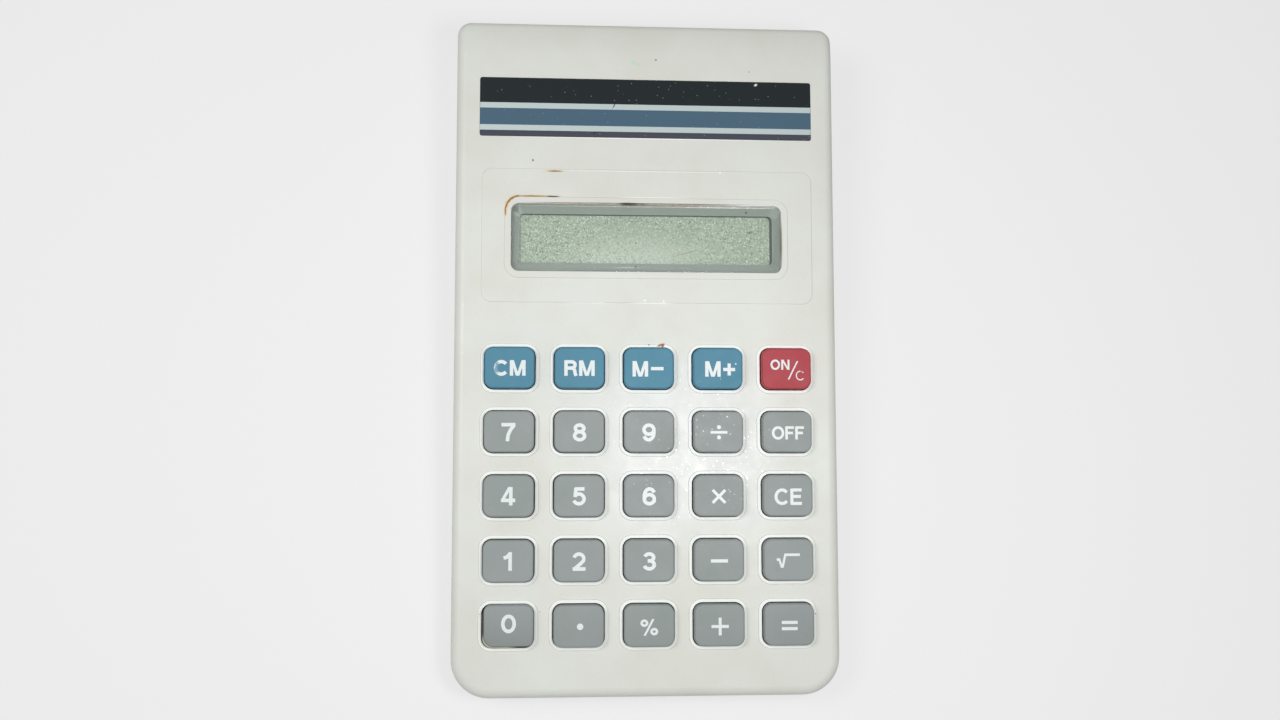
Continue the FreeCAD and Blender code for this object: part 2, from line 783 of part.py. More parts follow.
def make_battery_spring():
    """The conical coil that pushes on the cell's flat end."""
    rise = spring_length - 2 * spring_wire_radius - fit_gap
    start_x = spring_foot_x + spring_wire_radius + fit_gap / 2
    count = int(spring_turns * spring_points_per_turn)
    points = []
    for index in range(count + 1):
        share = index / count
        radius = spring_foot_radius + share * (spring_tip_radius - spring_foot_radius)
        angle = share * spring_turns * 2 * math.pi
        points.append(Vector(start_x + share * rise, battery_y + radius * math.cos(angle),
                             battery_z + radius * math.sin(angle)))
    curve = Part.BSplineCurve()
    curve.interpolate(points)
    direction = curve.tangent(curve.FirstParameter)[0]
    profile = Part.Wire([Part.Circle(points[0], direction, spring_wire_radius).toShape()])
    return Part.Wire([curve.toShape()]).makePipeShell([profile], True, True)


def board_underside(y):
    """The height of the board's lower face over a place on the base."""
    along = (y + board_floor * math.sin(tilt)) / math.cos(tilt)
    return mid_height + along * math.sin(tilt) + board_floor * math.cos(tilt)


def battery_wire(x, landing_x):
    """An insulated wire from a contact plate, through the bay wall's notch, to the board's lower face."""
    landing_y = (board_high - wire_landing) * math.cos(tilt)
    underside = board_underside(landing_y)
    landing = Vector(landing_x, landing_y, underside - wire_radius / 2)
    points = [
        Vector(x, battery_y - contact_width / 2 + 2 * wire_radius, wire_z),
        Vector(x, bay_y - bay_wall - 2 * wire_radius, wire_z),
        Vector(landing_x, high_screw_y + case_post_radius, wire_z),
        landing - Vector(0, 0, wire_drop),
        landing,
    ]
    return bent_wire(points, wire_radius, wire_bend_radius)


# ------------------------------------------------------------------ the assembly
key_names = [
    ["key_clear_memory", "key_recall_memory", "key_memory_minus", "key_memory_plus", "key_on_clear"],
    ["key_7", "key_8", "key_9", "key_divide", "key_off"],
    ["key_4", "key_5", "key_6", "key_multiply", "key_clear_entry"],
    ["key_1", "key_2", "key_3", "key_subtract", "key_square_root"],
    ["key_0", "key_decimal_point", "key_percent", "key_add", "key_equals"],
]

parts = {
    "front_case": make_front_case(),
    "rear_case": make_rear_case(),
    "battery_door": make_battery_door(),
    "nameplate": make_nameplate(),
    "display_window": make_display_window(),
    "display_border": make_display_border(),
    "lcd_front_polarizer": make_lcd_front_polarizer(),
    "lcd_front_glass": make_lcd_front_glass(),
    "lcd_rear_glass": make_lcd_rear_glass(),
    "lcd_reflector": make_lcd_reflector(),
    "zebra_connector": make_zebra_connector(),
    "lcd_support_strip": make_lcd_support_strip(),
    "keypad_mat": make_keypad_mat(),
    "circuit_board": make_circuit_board(),
    "chip_blob": make_chip_blob(),
    "capacitor": make_capacitor(),
    "resistors": make_resistors(),
    "case_screws": make_case_screws(),
    "board_screws": make_board_screws(),
    "battery_cell": make_battery(),
    "battery_positive_contact": make_positive_contact(),
    "battery_negative_contact": make_negative_contact(),
    "battery_spring": make_battery_spring(),
    "battery_positive_wire": battery_wire(positive_wire_x, board_width / 4),
    "battery_negative_wire": battery_wire(negative_wire_x, -board_width / 4),
}
for row, names in enumerate(key_names):
    for column, name in enumerate(names):
        parts[name] = make_key(row, column)

# The origin goes to the middle of the whole object's plan, on its base.
case_box = parts["front_case"].optimalBoundingBox(False)
case_box.add(parts["rear_case"].optimalBoundingBox(False))
to_origin = Vector(-case_box.Center.x, -case_box.Center.y, 0)
print("moved to the origin by", to_origin)

os.makedirs("parts", exist_ok=True)
for name, shape in parts.items():
    shape.translate(to_origin)
    shape.exportStep(os.path.join("parts", name + ".step"))
    print(name, shape.ShapeType, len(shape.Solids), round(shape.Volume, 2), shape.isValid())
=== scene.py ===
# %% [markdown]
# # A pocket calculator, dressed for the camera
#
# The solids of this calculator come from a CAD model, and they never move or change here. This lesson gives
# each of them the look of its real material, prints the legends on the keys, and sets up a small studio.
# The first cell brings the model in and keeps its box.

# %% Bring in the model
import json
import math

import bpy
from mathutils import Euler, Matrix, Vector


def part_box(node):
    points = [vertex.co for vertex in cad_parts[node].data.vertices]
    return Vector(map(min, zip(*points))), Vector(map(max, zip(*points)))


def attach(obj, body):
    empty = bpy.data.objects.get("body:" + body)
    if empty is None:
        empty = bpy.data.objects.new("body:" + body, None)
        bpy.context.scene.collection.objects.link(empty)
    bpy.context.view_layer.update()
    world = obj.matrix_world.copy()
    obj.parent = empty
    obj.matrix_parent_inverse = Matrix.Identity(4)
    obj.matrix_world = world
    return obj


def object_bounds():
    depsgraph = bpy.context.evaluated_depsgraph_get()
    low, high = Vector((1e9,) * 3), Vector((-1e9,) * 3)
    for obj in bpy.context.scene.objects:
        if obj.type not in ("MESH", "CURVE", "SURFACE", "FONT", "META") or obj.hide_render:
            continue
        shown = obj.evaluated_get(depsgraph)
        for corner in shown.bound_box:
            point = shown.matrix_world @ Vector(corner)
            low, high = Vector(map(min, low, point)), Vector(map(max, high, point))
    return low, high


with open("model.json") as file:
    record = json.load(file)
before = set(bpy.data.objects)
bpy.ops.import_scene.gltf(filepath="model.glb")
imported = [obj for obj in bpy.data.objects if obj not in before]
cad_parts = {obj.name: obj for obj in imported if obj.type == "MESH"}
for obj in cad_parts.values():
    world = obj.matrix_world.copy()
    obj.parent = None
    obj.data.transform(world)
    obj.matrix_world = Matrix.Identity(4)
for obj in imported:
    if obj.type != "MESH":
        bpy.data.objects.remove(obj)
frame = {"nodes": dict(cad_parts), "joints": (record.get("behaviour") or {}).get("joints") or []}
cad_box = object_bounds()
print("pieces from CAD:", len(frame["nodes"]), "box:", cad_box)

# %% [markdown]
# ## The sloping face has its own ruler
#
# Keys, display and nameplate lie on a face that slopes up towards the display, so they are easier to place
# in the face's own millimetres: x across, y along the case from its middle, z out of the plastic. The slope
# is read from a key's travel, which is square to the face. One matrix then takes a point on the face to the
# room.

# %% The face's frame
MM = 0.001
travel = Vector(next(j for j in frame["joints"] if j["name"] == "press_7")["axis"]).normalized()
slope = math.atan2(-travel.y, travel.z)
PLATE_MIDDLE = Vector((0.0, 45.7, -0.175))
low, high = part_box("nameplate")
lean = Matrix.Rotation(slope, 4, "X")
face_to_room = Matrix.Translation((low + high) / 2) @ lean @ Matrix.Translation(-PLATE_MIDDLE * MM)
room_to_face = face_to_room.inverted()
print("the face slopes by", round(math.degrees(slope), 2), "degrees")

# %% [markdown]
# ## Four helpers for every finish
#
# Paint charts and screens give colours as sRGB hex values, but a renderer adds light up in linear numbers,
# so one function turns the first into the second. A second one adds a shader node with its settings and
# links. The last two start a material and put it on pieces of the model.

# %% Colours and nodes
def linear(hex_colour):
    """An sRGB hex colour as linear red, green, blue and an alpha of 1."""
    channels = [int(hex_colour[i:i + 2], 16) / 255 for i in (1, 3, 5)]
    return [c / 12.92 if c <= 0.04045 else ((c + 0.055) / 1.055) ** 2.4 for c in channels] + [1.0]


def add(tree, kind, values=None, links=None, **settings):
    """Add one shader node, set its values and settings, and link its inputs."""
    node = tree.nodes.new("ShaderNode" + kind)
    for name, value in settings.items():
        setattr(node, name, value)
    for socket, value in (values or {}).items():
        node.inputs[socket].default_value = value
    for socket, source in (links or {}).items():
        tree.links.new(source, node.inputs[socket])
    return node


def finish(name, roughness, ior=1.5, metallic=0.0):
    """A new material that holds one Principled shader, with its tree."""
    material = bpy.data.materials.new(name)
    material.use_nodes = True
    skin = material.node_tree.nodes["Principled BSDF"]
    skin.inputs["Roughness"].default_value = roughness
    skin.inputs["IOR"].default_value = ior
    skin.inputs["Metallic"].default_value = metallic
    return material, material.node_tree, skin


def dress(material, *nodes):
    """Give CAD nodes a material."""
    for name in nodes:
        slots = frame["nodes"][name].data.materials
        slots.clear()
        slots.append(material)
    print(material.name, "on", len(nodes), "pieces")


print("ivory in linear light:", [round(c, 3) for c in linear("#DCDED8")])

# %% [markdown]
# ## Coordinates that stay on the plastic
#
# A pattern has to sit still on its part, so every material starts from object coordinates, which are metres
# in the CAD frame. A Mapping node turns them into the face's millimetres. A pattern's scale is then just
# one divided by the real size of its grain.

# %% Face millimetres inside a material
def on_plastic(tree):
    """The shaded point, in metres in the part's own frame."""
    return add(tree, "TexCoord").outputs["Object"]


def on_face(tree):
    """The shaded point, in millimetres on the sloping face."""
    return add(tree, "Mapping", {"Location": room_to_face.translation / MM, "Rotation": (-slope, 0, 0),
                                 "Scale": (1 / MM,) * 3}, {"Vector": on_plastic(tree)}).outputs["Vector"]


def grain(size_mm, metres=True):
    """The texture scale that makes a pattern's features about this large."""
    return (1000 if metres else 1) / size_mm


def flecks(tree, point, spacing_mm, radius_mm, metres=False):
    """1 in small discs, about one in each square of the spacing."""
    cells = add(tree, "TexVoronoi", {"Scale": grain(spacing_mm, metres)}, {"Vector": point})
    return add(tree, "Math", {1: radius_mm / spacing_mm}, {0: cells.outputs["Distance"]},
               operation="LESS_THAN").outputs[0]


print("a 0.3 mm grain is a noise scale of", round(grain(0.3)))

# %% [markdown]
# ## Moulded ABS
#
# The case and the keys are injection-moulded ABS. A mould polished and then lightly sparked leaves a satin
# skin: it has a broad, soft shine, a grain of a few tenths of a millimetre that only shows where a lamp
# glances off it, and faint flow clouds of colour and gloss. Years of handling polish it unevenly. So the
# colour drifts with a large noise, the roughness with a middling one, and the bump is fine and shallow.
# Here and there the tip of a grain is rubbed smooth, and glints where it mirrors a lamp.

# %% The ABS recipe
SPARK_GRAIN, SPARK_RELIEF = 0.28, 0.008
FLOW_CLOUD = 16.0
HANDLING_PATCH = 5.0
GLINT_SPACING, GLINT_RADIUS, GLINT_ROUGHNESS = 1.0, 0.13, 0.4
GLOSS_SWING = 0.1


def moulded_abs(name, colour, shade, roughness, shine=0.45):
    """Satin ABS whose colour drifts to a second shade, with what a stain needs to be laid on it."""
    material, tree, skin = finish(name, roughness, ior=1.54)
    skin.inputs["Specular IOR Level"].default_value = shine
    point = on_plastic(tree)
    cloud = add(tree, "TexNoise", {"Scale": grain(FLOW_CLOUD), "Detail": 4.0, "Roughness": 0.6},
                {"Vector": point})
    drift = add(tree, "MapRange", {"From Min": 0.35, "From Max": 0.7}, {"Value": cloud.outputs[0]})
    tint = add(tree, "Mix", {6: linear(colour), 7: linear(shade)}, {0: drift.outputs[0]}, data_type="RGBA")
    patch = add(tree, "TexNoise", {"Scale": grain(HANDLING_PATCH), "Detail": 8.0, "Roughness": 0.7},
                {"Vector": point})
    gloss = add(tree, "MapRange", {"From Min": 0.3, "From Max": 0.7, "To Min": roughness - GLOSS_SWING,
                                   "To Max": roughness + GLOSS_SWING}, {"Value": patch.outputs[0]})
    spark = add(tree, "TexNoise", {"Scale": grain(SPARK_GRAIN), "Detail": 2.0}, {"Vector": point})
    relief = add(tree, "Bump", {"Strength": 1.0, "Distance": SPARK_RELIEF * MM}, {"Height": spark.outputs[0]})
    glint = add(tree, "MapRange", {"To Min": 1.0, "To Max": GLINT_ROUGHNESS},
                {"Value": flecks(tree, point, GLINT_SPACING, GLINT_RADIUS, metres=True)})
    gloss = add(tree, "Math", links={0: gloss.outputs[0], 1: glint.outputs[0]}, operation="MULTIPLY")
    tree.links.new(tint.outputs[2], skin.inputs["Base Color"])
    tree.links.new(gloss.outputs[0], skin.inputs["Roughness"])
    tree.links.new(relief.outputs[0], skin.inputs["Normal"])
    return material, tree, skin, tint.outputs[2]


IVORY, AGED_IVORY, CASE_ROUGHNESS = "#DCDED8", "#D6D7CE", 0.42
dress(moulded_abs("moulded_ivory_abs", IVORY, AGED_IVORY, CASE_ROUGHNESS)[0], "rear_case", "battery_door")

# %% [markdown]
# ## Masks for stains and painted light
#
# A calculator that has been used carries marks, and some light and shade is painted in as well. Painting
# them in the material keeps the mesh clean and the marks in place. Most are ellipses on the face's ruler: a
# Mapping node of the Texture kind moves, turns and scales the point so that the ellipse becomes a unit
# circle, and a little noise in the coordinates frays its edge. Painted shade and highlights along an edge
# follow a rounded box instead: all that lies within the corner radius of a smaller, square box.

# %% Frayed edges, ellipses and rounded boxes
FAR = 1000  # in millimetres, further than any part of the model
SOFT_EDGE = 0.12


def frayed(tree, point, amount_mm, size_mm):
    """The same point, pushed about by noise."""
    noise = add(tree, "TexNoise", {"Scale": grain(size_mm, metres=False), "Detail": 3.0}, {"Vector": point})
    push = add(tree, "VectorMath", {1: (0.5, 0.5, 0.5)}, {0: noise.outputs["Color"]}, operation="SUBTRACT")
    scaled = add(tree, "VectorMath", {1: (2 * amount_mm, 2 * amount_mm, 0)}, {0: push.outputs[0]},
                 operation="MULTIPLY")
    return add(tree, "VectorMath", links={0: point, 1: scaled.outputs[0]}, operation="ADD").outputs[0]


def ellipse_mask(tree, point, middle, half_size, turn=0.0, soft=0.5):
    """1 inside an ellipse on the face, falling to 0 across its edge."""
    flat = add(tree, "VectorMath", {1: (1, 1, 0)}, {0: point}, operation="MULTIPLY")
    unit = add(tree, "Mapping", {"Location": (*middle, 0), "Rotation": (0, 0, math.radians(turn)),
                                 "Scale": (*half_size, 1)}, {"Vector": flat.outputs[0]},
               vector_type="TEXTURE")
    away = add(tree, "VectorMath", links={0: unit.outputs[0]}, operation="LENGTH")
    return add(tree, "MapRange", {"From Min": 1 + soft, "From Max": 1 - soft},
               {"Value": away.outputs["Value"]}, interpolation_type="SMOOTHSTEP").outputs[0]


def outside_box(tree, point, middle, half_size, radius, soft=SOFT_EDGE):
    """0 inside a rounded rectangle on the face, rising to 1 just outside its edge."""
    moved = add(tree, "VectorMath", {1: (*middle, 0)}, {0: point}, operation="SUBTRACT")
    folded = add(tree, "VectorMath", links={0: moved.outputs[0]}, operation="ABSOLUTE")
    past = add(tree, "VectorMath", {1: (half_size[0] - radius, half_size[1] - radius, FAR)},
               {0: folded.outputs[0]}, operation="SUBTRACT")
    past = add(tree, "VectorMath", {1: (0, 0, 0)}, {0: past.outputs[0]}, operation="MAXIMUM")
    reach = add(tree, "VectorMath", links={0: past.outputs[0]}, operation="LENGTH")
    return add(tree, "MapRange", {"From Min": radius, "From Max": radius + soft},
               {"Value": reach.outputs["Value"]}).outputs[0]


def lay_colour(tree, colour, mask, paint, strength):
    """Lay one colour over another through a mask."""
    share = add(tree, "Math", {1: strength}, {0: mask}, operation="MULTIPLY")
    return add(tree, "Mix", {7: linear(paint)}, {0: share.outputs[0], 6: colour},
               data_type="RGBA").outputs[2]


def lay_marks(tree, colour, point, marks):
    """Lay each mark over a colour through its ellipse."""
    for paint, middle, half_size, turn, strength in marks:
        colour = lay_colour(tree, colour, ellipse_mask(tree, point, middle, half_size, turn), paint, strength)
    return colour


print("the edge of a box fades over", SOFT_EDGE, "mm")

# %% [markdown]
# ## Marks on the face
#
# The front half has lived a little: rusty smears with a yellowed fringe where dirt has gathered against the
# display's step, dark and white specks, and a faint green pen mark. Thin brown lines of dirt and a dark grey
# line run along the window's top edge. Thin white lines along the edges of window, panel and nameplate are
# painted highlights, where those edges catch the light. A long smear that bends is a few ellipses in a row.

# %% Where the marks are
RUST, YELLOWED, DIRT = "#9C6826", "#DCCB98", "#2B231D"
# white for specks and chips, and for painted highlights and glints
WHITE_SPECK_AND_HIGHLIGHT, GREEN_PEN = "#FFFFFF", "#A9E3B4"
# every list of marks gives colour, middle, half width and half height, turn in degrees, strength
FACE_MARKS = [
    (YELLOWED, (-26.1, 26.4), (0.35, 1.4), -12, 0.6),
    (YELLOWED, (-25.3, 28.2), (1.3, 0.35), 35, 0.6),
    (YELLOWED, (-21.3, 28.85), (4.2, 0.22), 0, 0.5),
    (RUST, (-26.22, 25.9), (0.15, 0.8), 0, 0.9),
    (RUST, (-26.05, 26.95), (0.6, 0.19), 70, 1.0),
    (RUST, (-25.62, 27.76), (0.6, 0.21), 50, 1.0),
    (RUST, (-25.0, 28.36), (0.6, 0.21), 30, 1.0),
    (RUST, (-24.15, 28.72), (0.6, 0.19), 10, 1.0),
    (RUST, (-21.2, 28.8), (2.8, 0.14), 0, 0.9),
    ("#5E3A18", (-17.5, 28.76), (1.2, 0.16), 0, 1.0),
    (YELLOWED, (-17.1, 33.6), (2.0, 0.25), 0, 0.6),
    ("#7E5224", (-17.1, 33.58), (1.3, 0.13), 0, 1.0),
    (RUST, (2.55, 1.2), (0.7, 0.22), 20, 0.95),
    ("#7A5230", (2.9, 1.05), (0.25, 0.4), -20, 0.95),
    (DIRT, (0.33, 1.2), (0.15, 0.12), 0, 0.9),
    (DIRT, (-21.24, 35.64), (0.17, 0.2), 0, 0.85),
    (DIRT, (1.77, 55.2), (0.18, 0.14), 0, 0.85),
    (DIRT, (19.4, 53.2), (0.14, 0.14), 0, 0.5),
    (DIRT, (30.7, -47.9), (0.2, 0.13), 0, 0.5),
    (DIRT, (-30.24, -47.5), (0.11, 0.1), 0, 0.5),
    (DIRT, (-19.49, -47.17), (0.11, 0.1), 0, 0.5),
    ("#7B6B40", (25.25, 20.6), (0.1, 3.6), 0, 0.75),
    ("#77746A", (0.0, 27.58), (19.5, 0.10), 0, 0.9),
    ("#8A6A48", (5.5, 27.58), (8.0, 0.10), 0, 0.8),
    ("#8E7250", (-14.0, 27.58), (7.0, 0.09), 0, 0.7),
    (DIRT, (-3.7, 27.56), (1.5, 0.18), 0, 1.0),
    (DIRT, (-2.2, 27.56), (2.4, 0.12), 0, 0.95),
    # painted highlights: light along the rim's top, the wall above the window and the panel's lower edge
    (WHITE_SPECK_AND_HIGHLIGHT, (1.3, 28.74), (5.6, 0.07), 0, 0.9),
    (WHITE_SPECK_AND_HIGHLIGHT, (20.4, 27.46), (4.0, 0.08), 0, 0.9),
    (WHITE_SPECK_AND_HIGHLIGHT, (0.9, 9.0), (3.6, 0.08), 0, 0.8),
    (WHITE_SPECK_AND_HIGHLIGHT, (-10.7, 9.0), (4.0, 0.07), 0, 0.6),
    (WHITE_SPECK_AND_HIGHLIGHT, (13.75, 33.7), (0.2, 0.16), 0, 0.9),
    (WHITE_SPECK_AND_HIGHLIGHT, (-0.4, 9.5), (0.2, 0.16), 0, 0.9),
    (WHITE_SPECK_AND_HIGHLIGHT, (3.1, 9.35), (0.18, 0.14), 0, 0.9),
    # painted highlights along the nameplate's lower edge and the panel's top edge
    (WHITE_SPECK_AND_HIGHLIGHT, (0.0, 40.03), (22.0, 0.09), 0, 0.9),
    (WHITE_SPECK_AND_HIGHLIGHT, (-2.0, 33.7), (17.0, 0.07), 0, 0.5),
    (GREEN_PEN, (-2.2, 54.5), (1.1, 0.25), -22, 0.55),
]
print("marks on the face:", len(FACE_MARKS))

# %% [markdown]
# A painted highlight makes the raised collars round the keys paler than the flat. Between the middle keys a
# paler patch is a painted sheen, with white specks that are painted glints, and painted shade darkens the
# walls of the gaps round the keys. The key holes repeat, so wrapping the ruler at the key pitch lets one
# rounded box stand for all of them.

# %% The marked front
# painted highlight on the collars, painted sheen and glints between the middle keys, painted shade in the key
# holes
COLLAR_HIGHLIGHT, COLLAR_FOOT, COLLAR_TOP = "#F3F5F1", 0.15, 0.35
HIGHLIGHT_FULL_UNTIL, HIGHLIGHT_GONE_AT, HIGHLIGHT_SHARE = 3.0, 9.0, 0.95
SHEEN_IVORY, SHEEN_PATCH = "#E6E9EA", ((7.0, -19.0), (16.0, 13.0))
SPARKLE_SPACING, SPARKLE_RADIUS = 1.5, 0.15
HOLE_WALL_SHADE, HOLE_SHADE_TOP, HOLE_SHADE_EDGE = "#6F6C62", 0.3, 0.05
KEY_FIELD, KEY_PITCH, HOLE_HALF, HOLE_CORNER = (0.2, -26.4), (12.7, 11.6), (4.8, 4.0), 1.7
FIELD_HALF = tuple(2 * pitch + half for pitch, half in zip(KEY_PITCH, HOLE_HALF))


def lit_collars(tree, colour, spot):
    """A painted highlight on what stands up from the flat, fading out above the key field."""
    raised = add(tree, "MapRange", {"From Min": COLLAR_FOOT, "From Max": COLLAR_TOP}, {"Value": spot["Z"]})
    highlight_reach = add(tree, "MapRange", {"From Min": HIGHLIGHT_FULL_UNTIL, "From Max": HIGHLIGHT_GONE_AT,
                                     "To Min": HIGHLIGHT_SHARE, "To Max": 0.0}, {"Value": spot["Y"]})
    lit_share = add(tree, "Math", links={0: raised.outputs[0], 1: highlight_reach.outputs[0]}, operation="MULTIPLY")
    return lay_colour(tree, colour, lit_share.outputs[0], COLLAR_HIGHLIGHT, 1.0)


def painted_sheen(tree, colour, place):
    """A painted sheen between the middle keys, with white specks as painted glints."""
    patch = ellipse_mask(tree, place, *SHEEN_PATCH, soft=0.9)
    colour = lay_colour(tree, colour, patch, SHEEN_IVORY, 0.6)
    sparkles = flecks(tree, frayed(tree, place, 0.1, 0.3), SPARKLE_SPACING, SPARKLE_RADIUS)
    sparkles = add(tree, "Math", links={0: sparkles, 1: patch}, operation="MULTIPLY")
    return lay_colour(tree, colour, sparkles.outputs[0], WHITE_SPECK_AND_HIGHLIGHT, 1.0)


def shaded_holes(tree, colour, place, spot):
    """Painted shade on the walls of the key holes, darker from the collar top down."""
    moved = add(tree, "VectorMath", {1: (*KEY_FIELD, 0)}, {0: place}, operation="SUBTRACT")
    half_x, half_y = KEY_PITCH[0] / 2, KEY_PITCH[1] / 2
    one_hole = add(tree, "VectorMath", {1: (half_x, half_y, FAR), 2: (-half_x, -half_y, -FAR)},
                   {0: moved.outputs[0]}, operation="WRAP")
    away = outside_box(tree, one_hole.outputs[0], (0, 0), HOLE_HALF, HOLE_CORNER, HOLE_SHADE_EDGE)
    beyond = outside_box(tree, place, KEY_FIELD, FIELD_HALF, HOLE_CORNER, HOLE_SHADE_EDGE)
    wall_shade = add(tree, "MapRange", {"From Min": HOLE_SHADE_TOP, "From Max": 0.0}, {"Value": spot["Z"]})
    for elsewhere in (away, beyond):
        wall_shade = add(tree, "Math", links={0: wall_shade.outputs[0], 1: elsewhere}, operation="SUBTRACT",
                    use_clamp=True)
    return lay_colour(tree, colour, wall_shade.outputs[0], HOLE_WALL_SHADE, 0.75)


front_ivory, tree, skin, colour = moulded_abs("moulded_ivory_abs_marked", IVORY, AGED_IVORY, CASE_ROUGHNESS)
place = on_face(tree)
spot = add(tree, "SeparateXYZ", links={0: place}).outputs
# painted light and shade: a highlight on the collars, a sheen with glints between the middle keys, shade in
# the key holes
colour = lit_collars(tree, colour, spot)
colour = painted_sheen(tree, colour, place)
colour = shaded_holes(tree, colour, place, spot)
colour = lay_marks(tree, colour, frayed(tree, place, 0.08, 0.5), FACE_MARKS)
tree.links.new(colour, skin.inputs["Base Color"])
dress(front_ivory, "front_case")

# %% [markdown]
# ## Key plastics
#
# The key caps are the same plastic in three colours, with a slightly duller skin than the case. The colours
# are kept a little darker than they look, because the satin skin adds the room's white on top. One blue key
# and one grey key carry a white speck.

# %% Blue and red keys
KEY_BLUE, KEY_RED, KEY_GREY = "#4F889F", "#AC424A", "#949B9A"
SECOND_SHADE = {KEY_BLUE: "#498199", KEY_RED: "#A63B43", KEY_GREY: "#8D9593"}
KEY_ROUGHNESS, KEY_SHINE = 0.48, 0.25
BLUE_KEYS = ["key_clear_memory", "key_recall_memory", "key_memory_minus", "key_memory_plus"]
RED_KEY, ZERO_KEY = "key_on_clear", "key_0"
GREY_KEYS = [n for n in frame["nodes"] if n.startswith("key_") and n not in BLUE_KEYS + [RED_KEY, ZERO_KEY]]
# painted shade, laid over the lowest keys and the equals key
KEY_SHADE = "#5C605D"
BLUE_KEY_MARKS = [(WHITE_SPECK_AND_HIGHLIGHT, (16.16, -2.37), (0.13, 0.13), 0, 0.9)]
GREY_KEY_MARKS = [(WHITE_SPECK_AND_HIGHLIGHT, (14.5, -12.06), (0.13, 0.13), 0, 0.9),
                  # painted shade over the equals key
                  (KEY_SHADE, (27.2, -50.6), (5.6, 4.6), 0, 0.1)]


def key_abs(name, colour):
    """The plastic for keys of one colour."""
    return moulded_abs(name, colour, SECOND_SHADE[colour], KEY_ROUGHNESS, shine=KEY_SHINE)


blue_abs, tree, skin, colour = key_abs("moulded_blue_abs", KEY_BLUE)
colour = lay_marks(tree, colour, on_face(tree), BLUE_KEY_MARKS)
tree.links.new(colour, skin.inputs["Base Color"])
dress(blue_abs, *BLUE_KEYS)
dress(key_abs("moulded_red_abs", KEY_RED)[0], RED_KEY)

# %% [markdown]
# Painted shade darkens the lowest row a little, deepening towards the low end, the equals key more and the
# zero key the most. A painted shadow runs along that last key's left and lower edges, and in the corner
# between them a pale wedge is a painted highlight on the key's dusty flank. Both lie outside rounded boxes
# that are set a little up and to the right of the key's middle.

# %% Dusty grey keys
# painted shade on the low row and the zero key; a painted shadow and a painted highlight on the zero key's
# edges
LOW_SHADE_STARTS, LOW_SHADE_FULL, LOW_ROW_SHADE, ZERO_KEY_SHADE = -46.5, -53.5, 0.12, 0.34
BOX_MIDDLE, LEAN_GAP_SHADOW, LIT_DUSTY_WEDGE = (-24.75, -49.1), "#45443E", "#BFC1AE"
DARK_BOX, PALE_BOX = ((4.55, 3.75), 1.6), ((4.66, 3.86), 1.7)
WEDGE_PATCH = ((-28.0, -53.0), (4.2, 1.6), -12, 0.3)


def shade_low_row(tree, colour, place, most):
    """Painted shade that deepens towards the low end of the case."""
    along = add(tree, "SeparateXYZ", links={0: place}).outputs["Y"]
    dust = add(tree, "MapRange", {"From Min": LOW_SHADE_STARTS, "From Max": LOW_SHADE_FULL}, {"Value": along})
    return lay_colour(tree, colour, dust.outputs[0], KEY_SHADE, most)


grey_abs, tree, skin, colour = key_abs("moulded_grey_abs", KEY_GREY)
place = on_face(tree)
colour = shade_low_row(tree, colour, place, LOW_ROW_SHADE)
colour = lay_marks(tree, colour, place, GREY_KEY_MARKS)
tree.links.new(colour, skin.inputs["Base Color"])
dress(grey_abs, *GREY_KEYS)

leaning_abs, tree, skin, colour = key_abs("moulded_grey_abs_painted_shade_and_light", KEY_GREY)
place = on_face(tree)
colour = shade_low_row(tree, colour, place, ZERO_KEY_SHADE)
# a painted shadow along the left and lower edges, where the key leans in its hole, then a painted highlight
# on the dusty flank in the corner
colour = lay_colour(tree, colour, outside_box(tree, place, BOX_MIDDLE, *DARK_BOX), LEAN_GAP_SHADOW, 0.9)
wedge = add(tree, "Math", links={0: outside_box(tree, place, BOX_MIDDLE, *PALE_BOX),
                                 1: ellipse_mask(tree, place, *WEDGE_PATCH)}, operation="MULTIPLY")
colour = lay_colour(tree, colour, wedge.outputs[0], LIT_DUSTY_WEDGE, 0.9)
tree.links.new(colour, skin.inputs["Base Color"])
dress(leaning_abs, ZERO_KEY)

# %% [markdown]
# ## The striped nameplate
#
# The plate is thin aluminium foil, printed in flat bands and glued into a recess. The bare silver bands are
# metal, the others are ink, so one ramp along the face gives the colour and a second one the metal. Ink on
# foil loses tiny flecks to keys in a pocket. The top band has one chip, the upper silver band one dark
# scratch, and the lowest band a dark spot.

# %% Printed aluminium foil
PLATE_LOW, PLATE_LENGTH = 40.15, 11.1
INK_BLACK, INK_SLATE, INK_NAVY, FOIL = "#22292B", "#4D687B", "#494C56", "#B6C1C1"
BANDS = [(0.0, INK_NAVY), (0.10, FOIL), (0.194, INK_SLATE), (0.48, FOIL), (0.574, INK_BLACK)]
FLECK_SPACING, FLECK_RADIUS, RUB_GRAIN = 1.1, 0.09, 0.35
PLATE_MARKS = [
    ("#F4F4EE", (20.7, 50.72), (0.32, 0.19), 24, 0.9),
    ("#22262B", (-6.1, 46.3), (0.10, 0.62), -28, 0.9),
    ("#22262B", (-9.8, 41.0), (0.3, 0.1), 30, 0.9),
]


def flat_bands(tree, share, bands, value):
    """Flat bands along a share from 0 to 1, each with the value of its ink."""
    node = add(tree, "ValToRGB", links={0: share})
    ramp = node.color_ramp
    ramp.interpolation = "CONSTANT"
    while len(ramp.elements) < len(bands):
        ramp.elements.new(1.0)
    for element, (start, ink) in zip(ramp.elements, bands):
        element.position = start
        element.color = value(ink)
    return node.outputs[0]


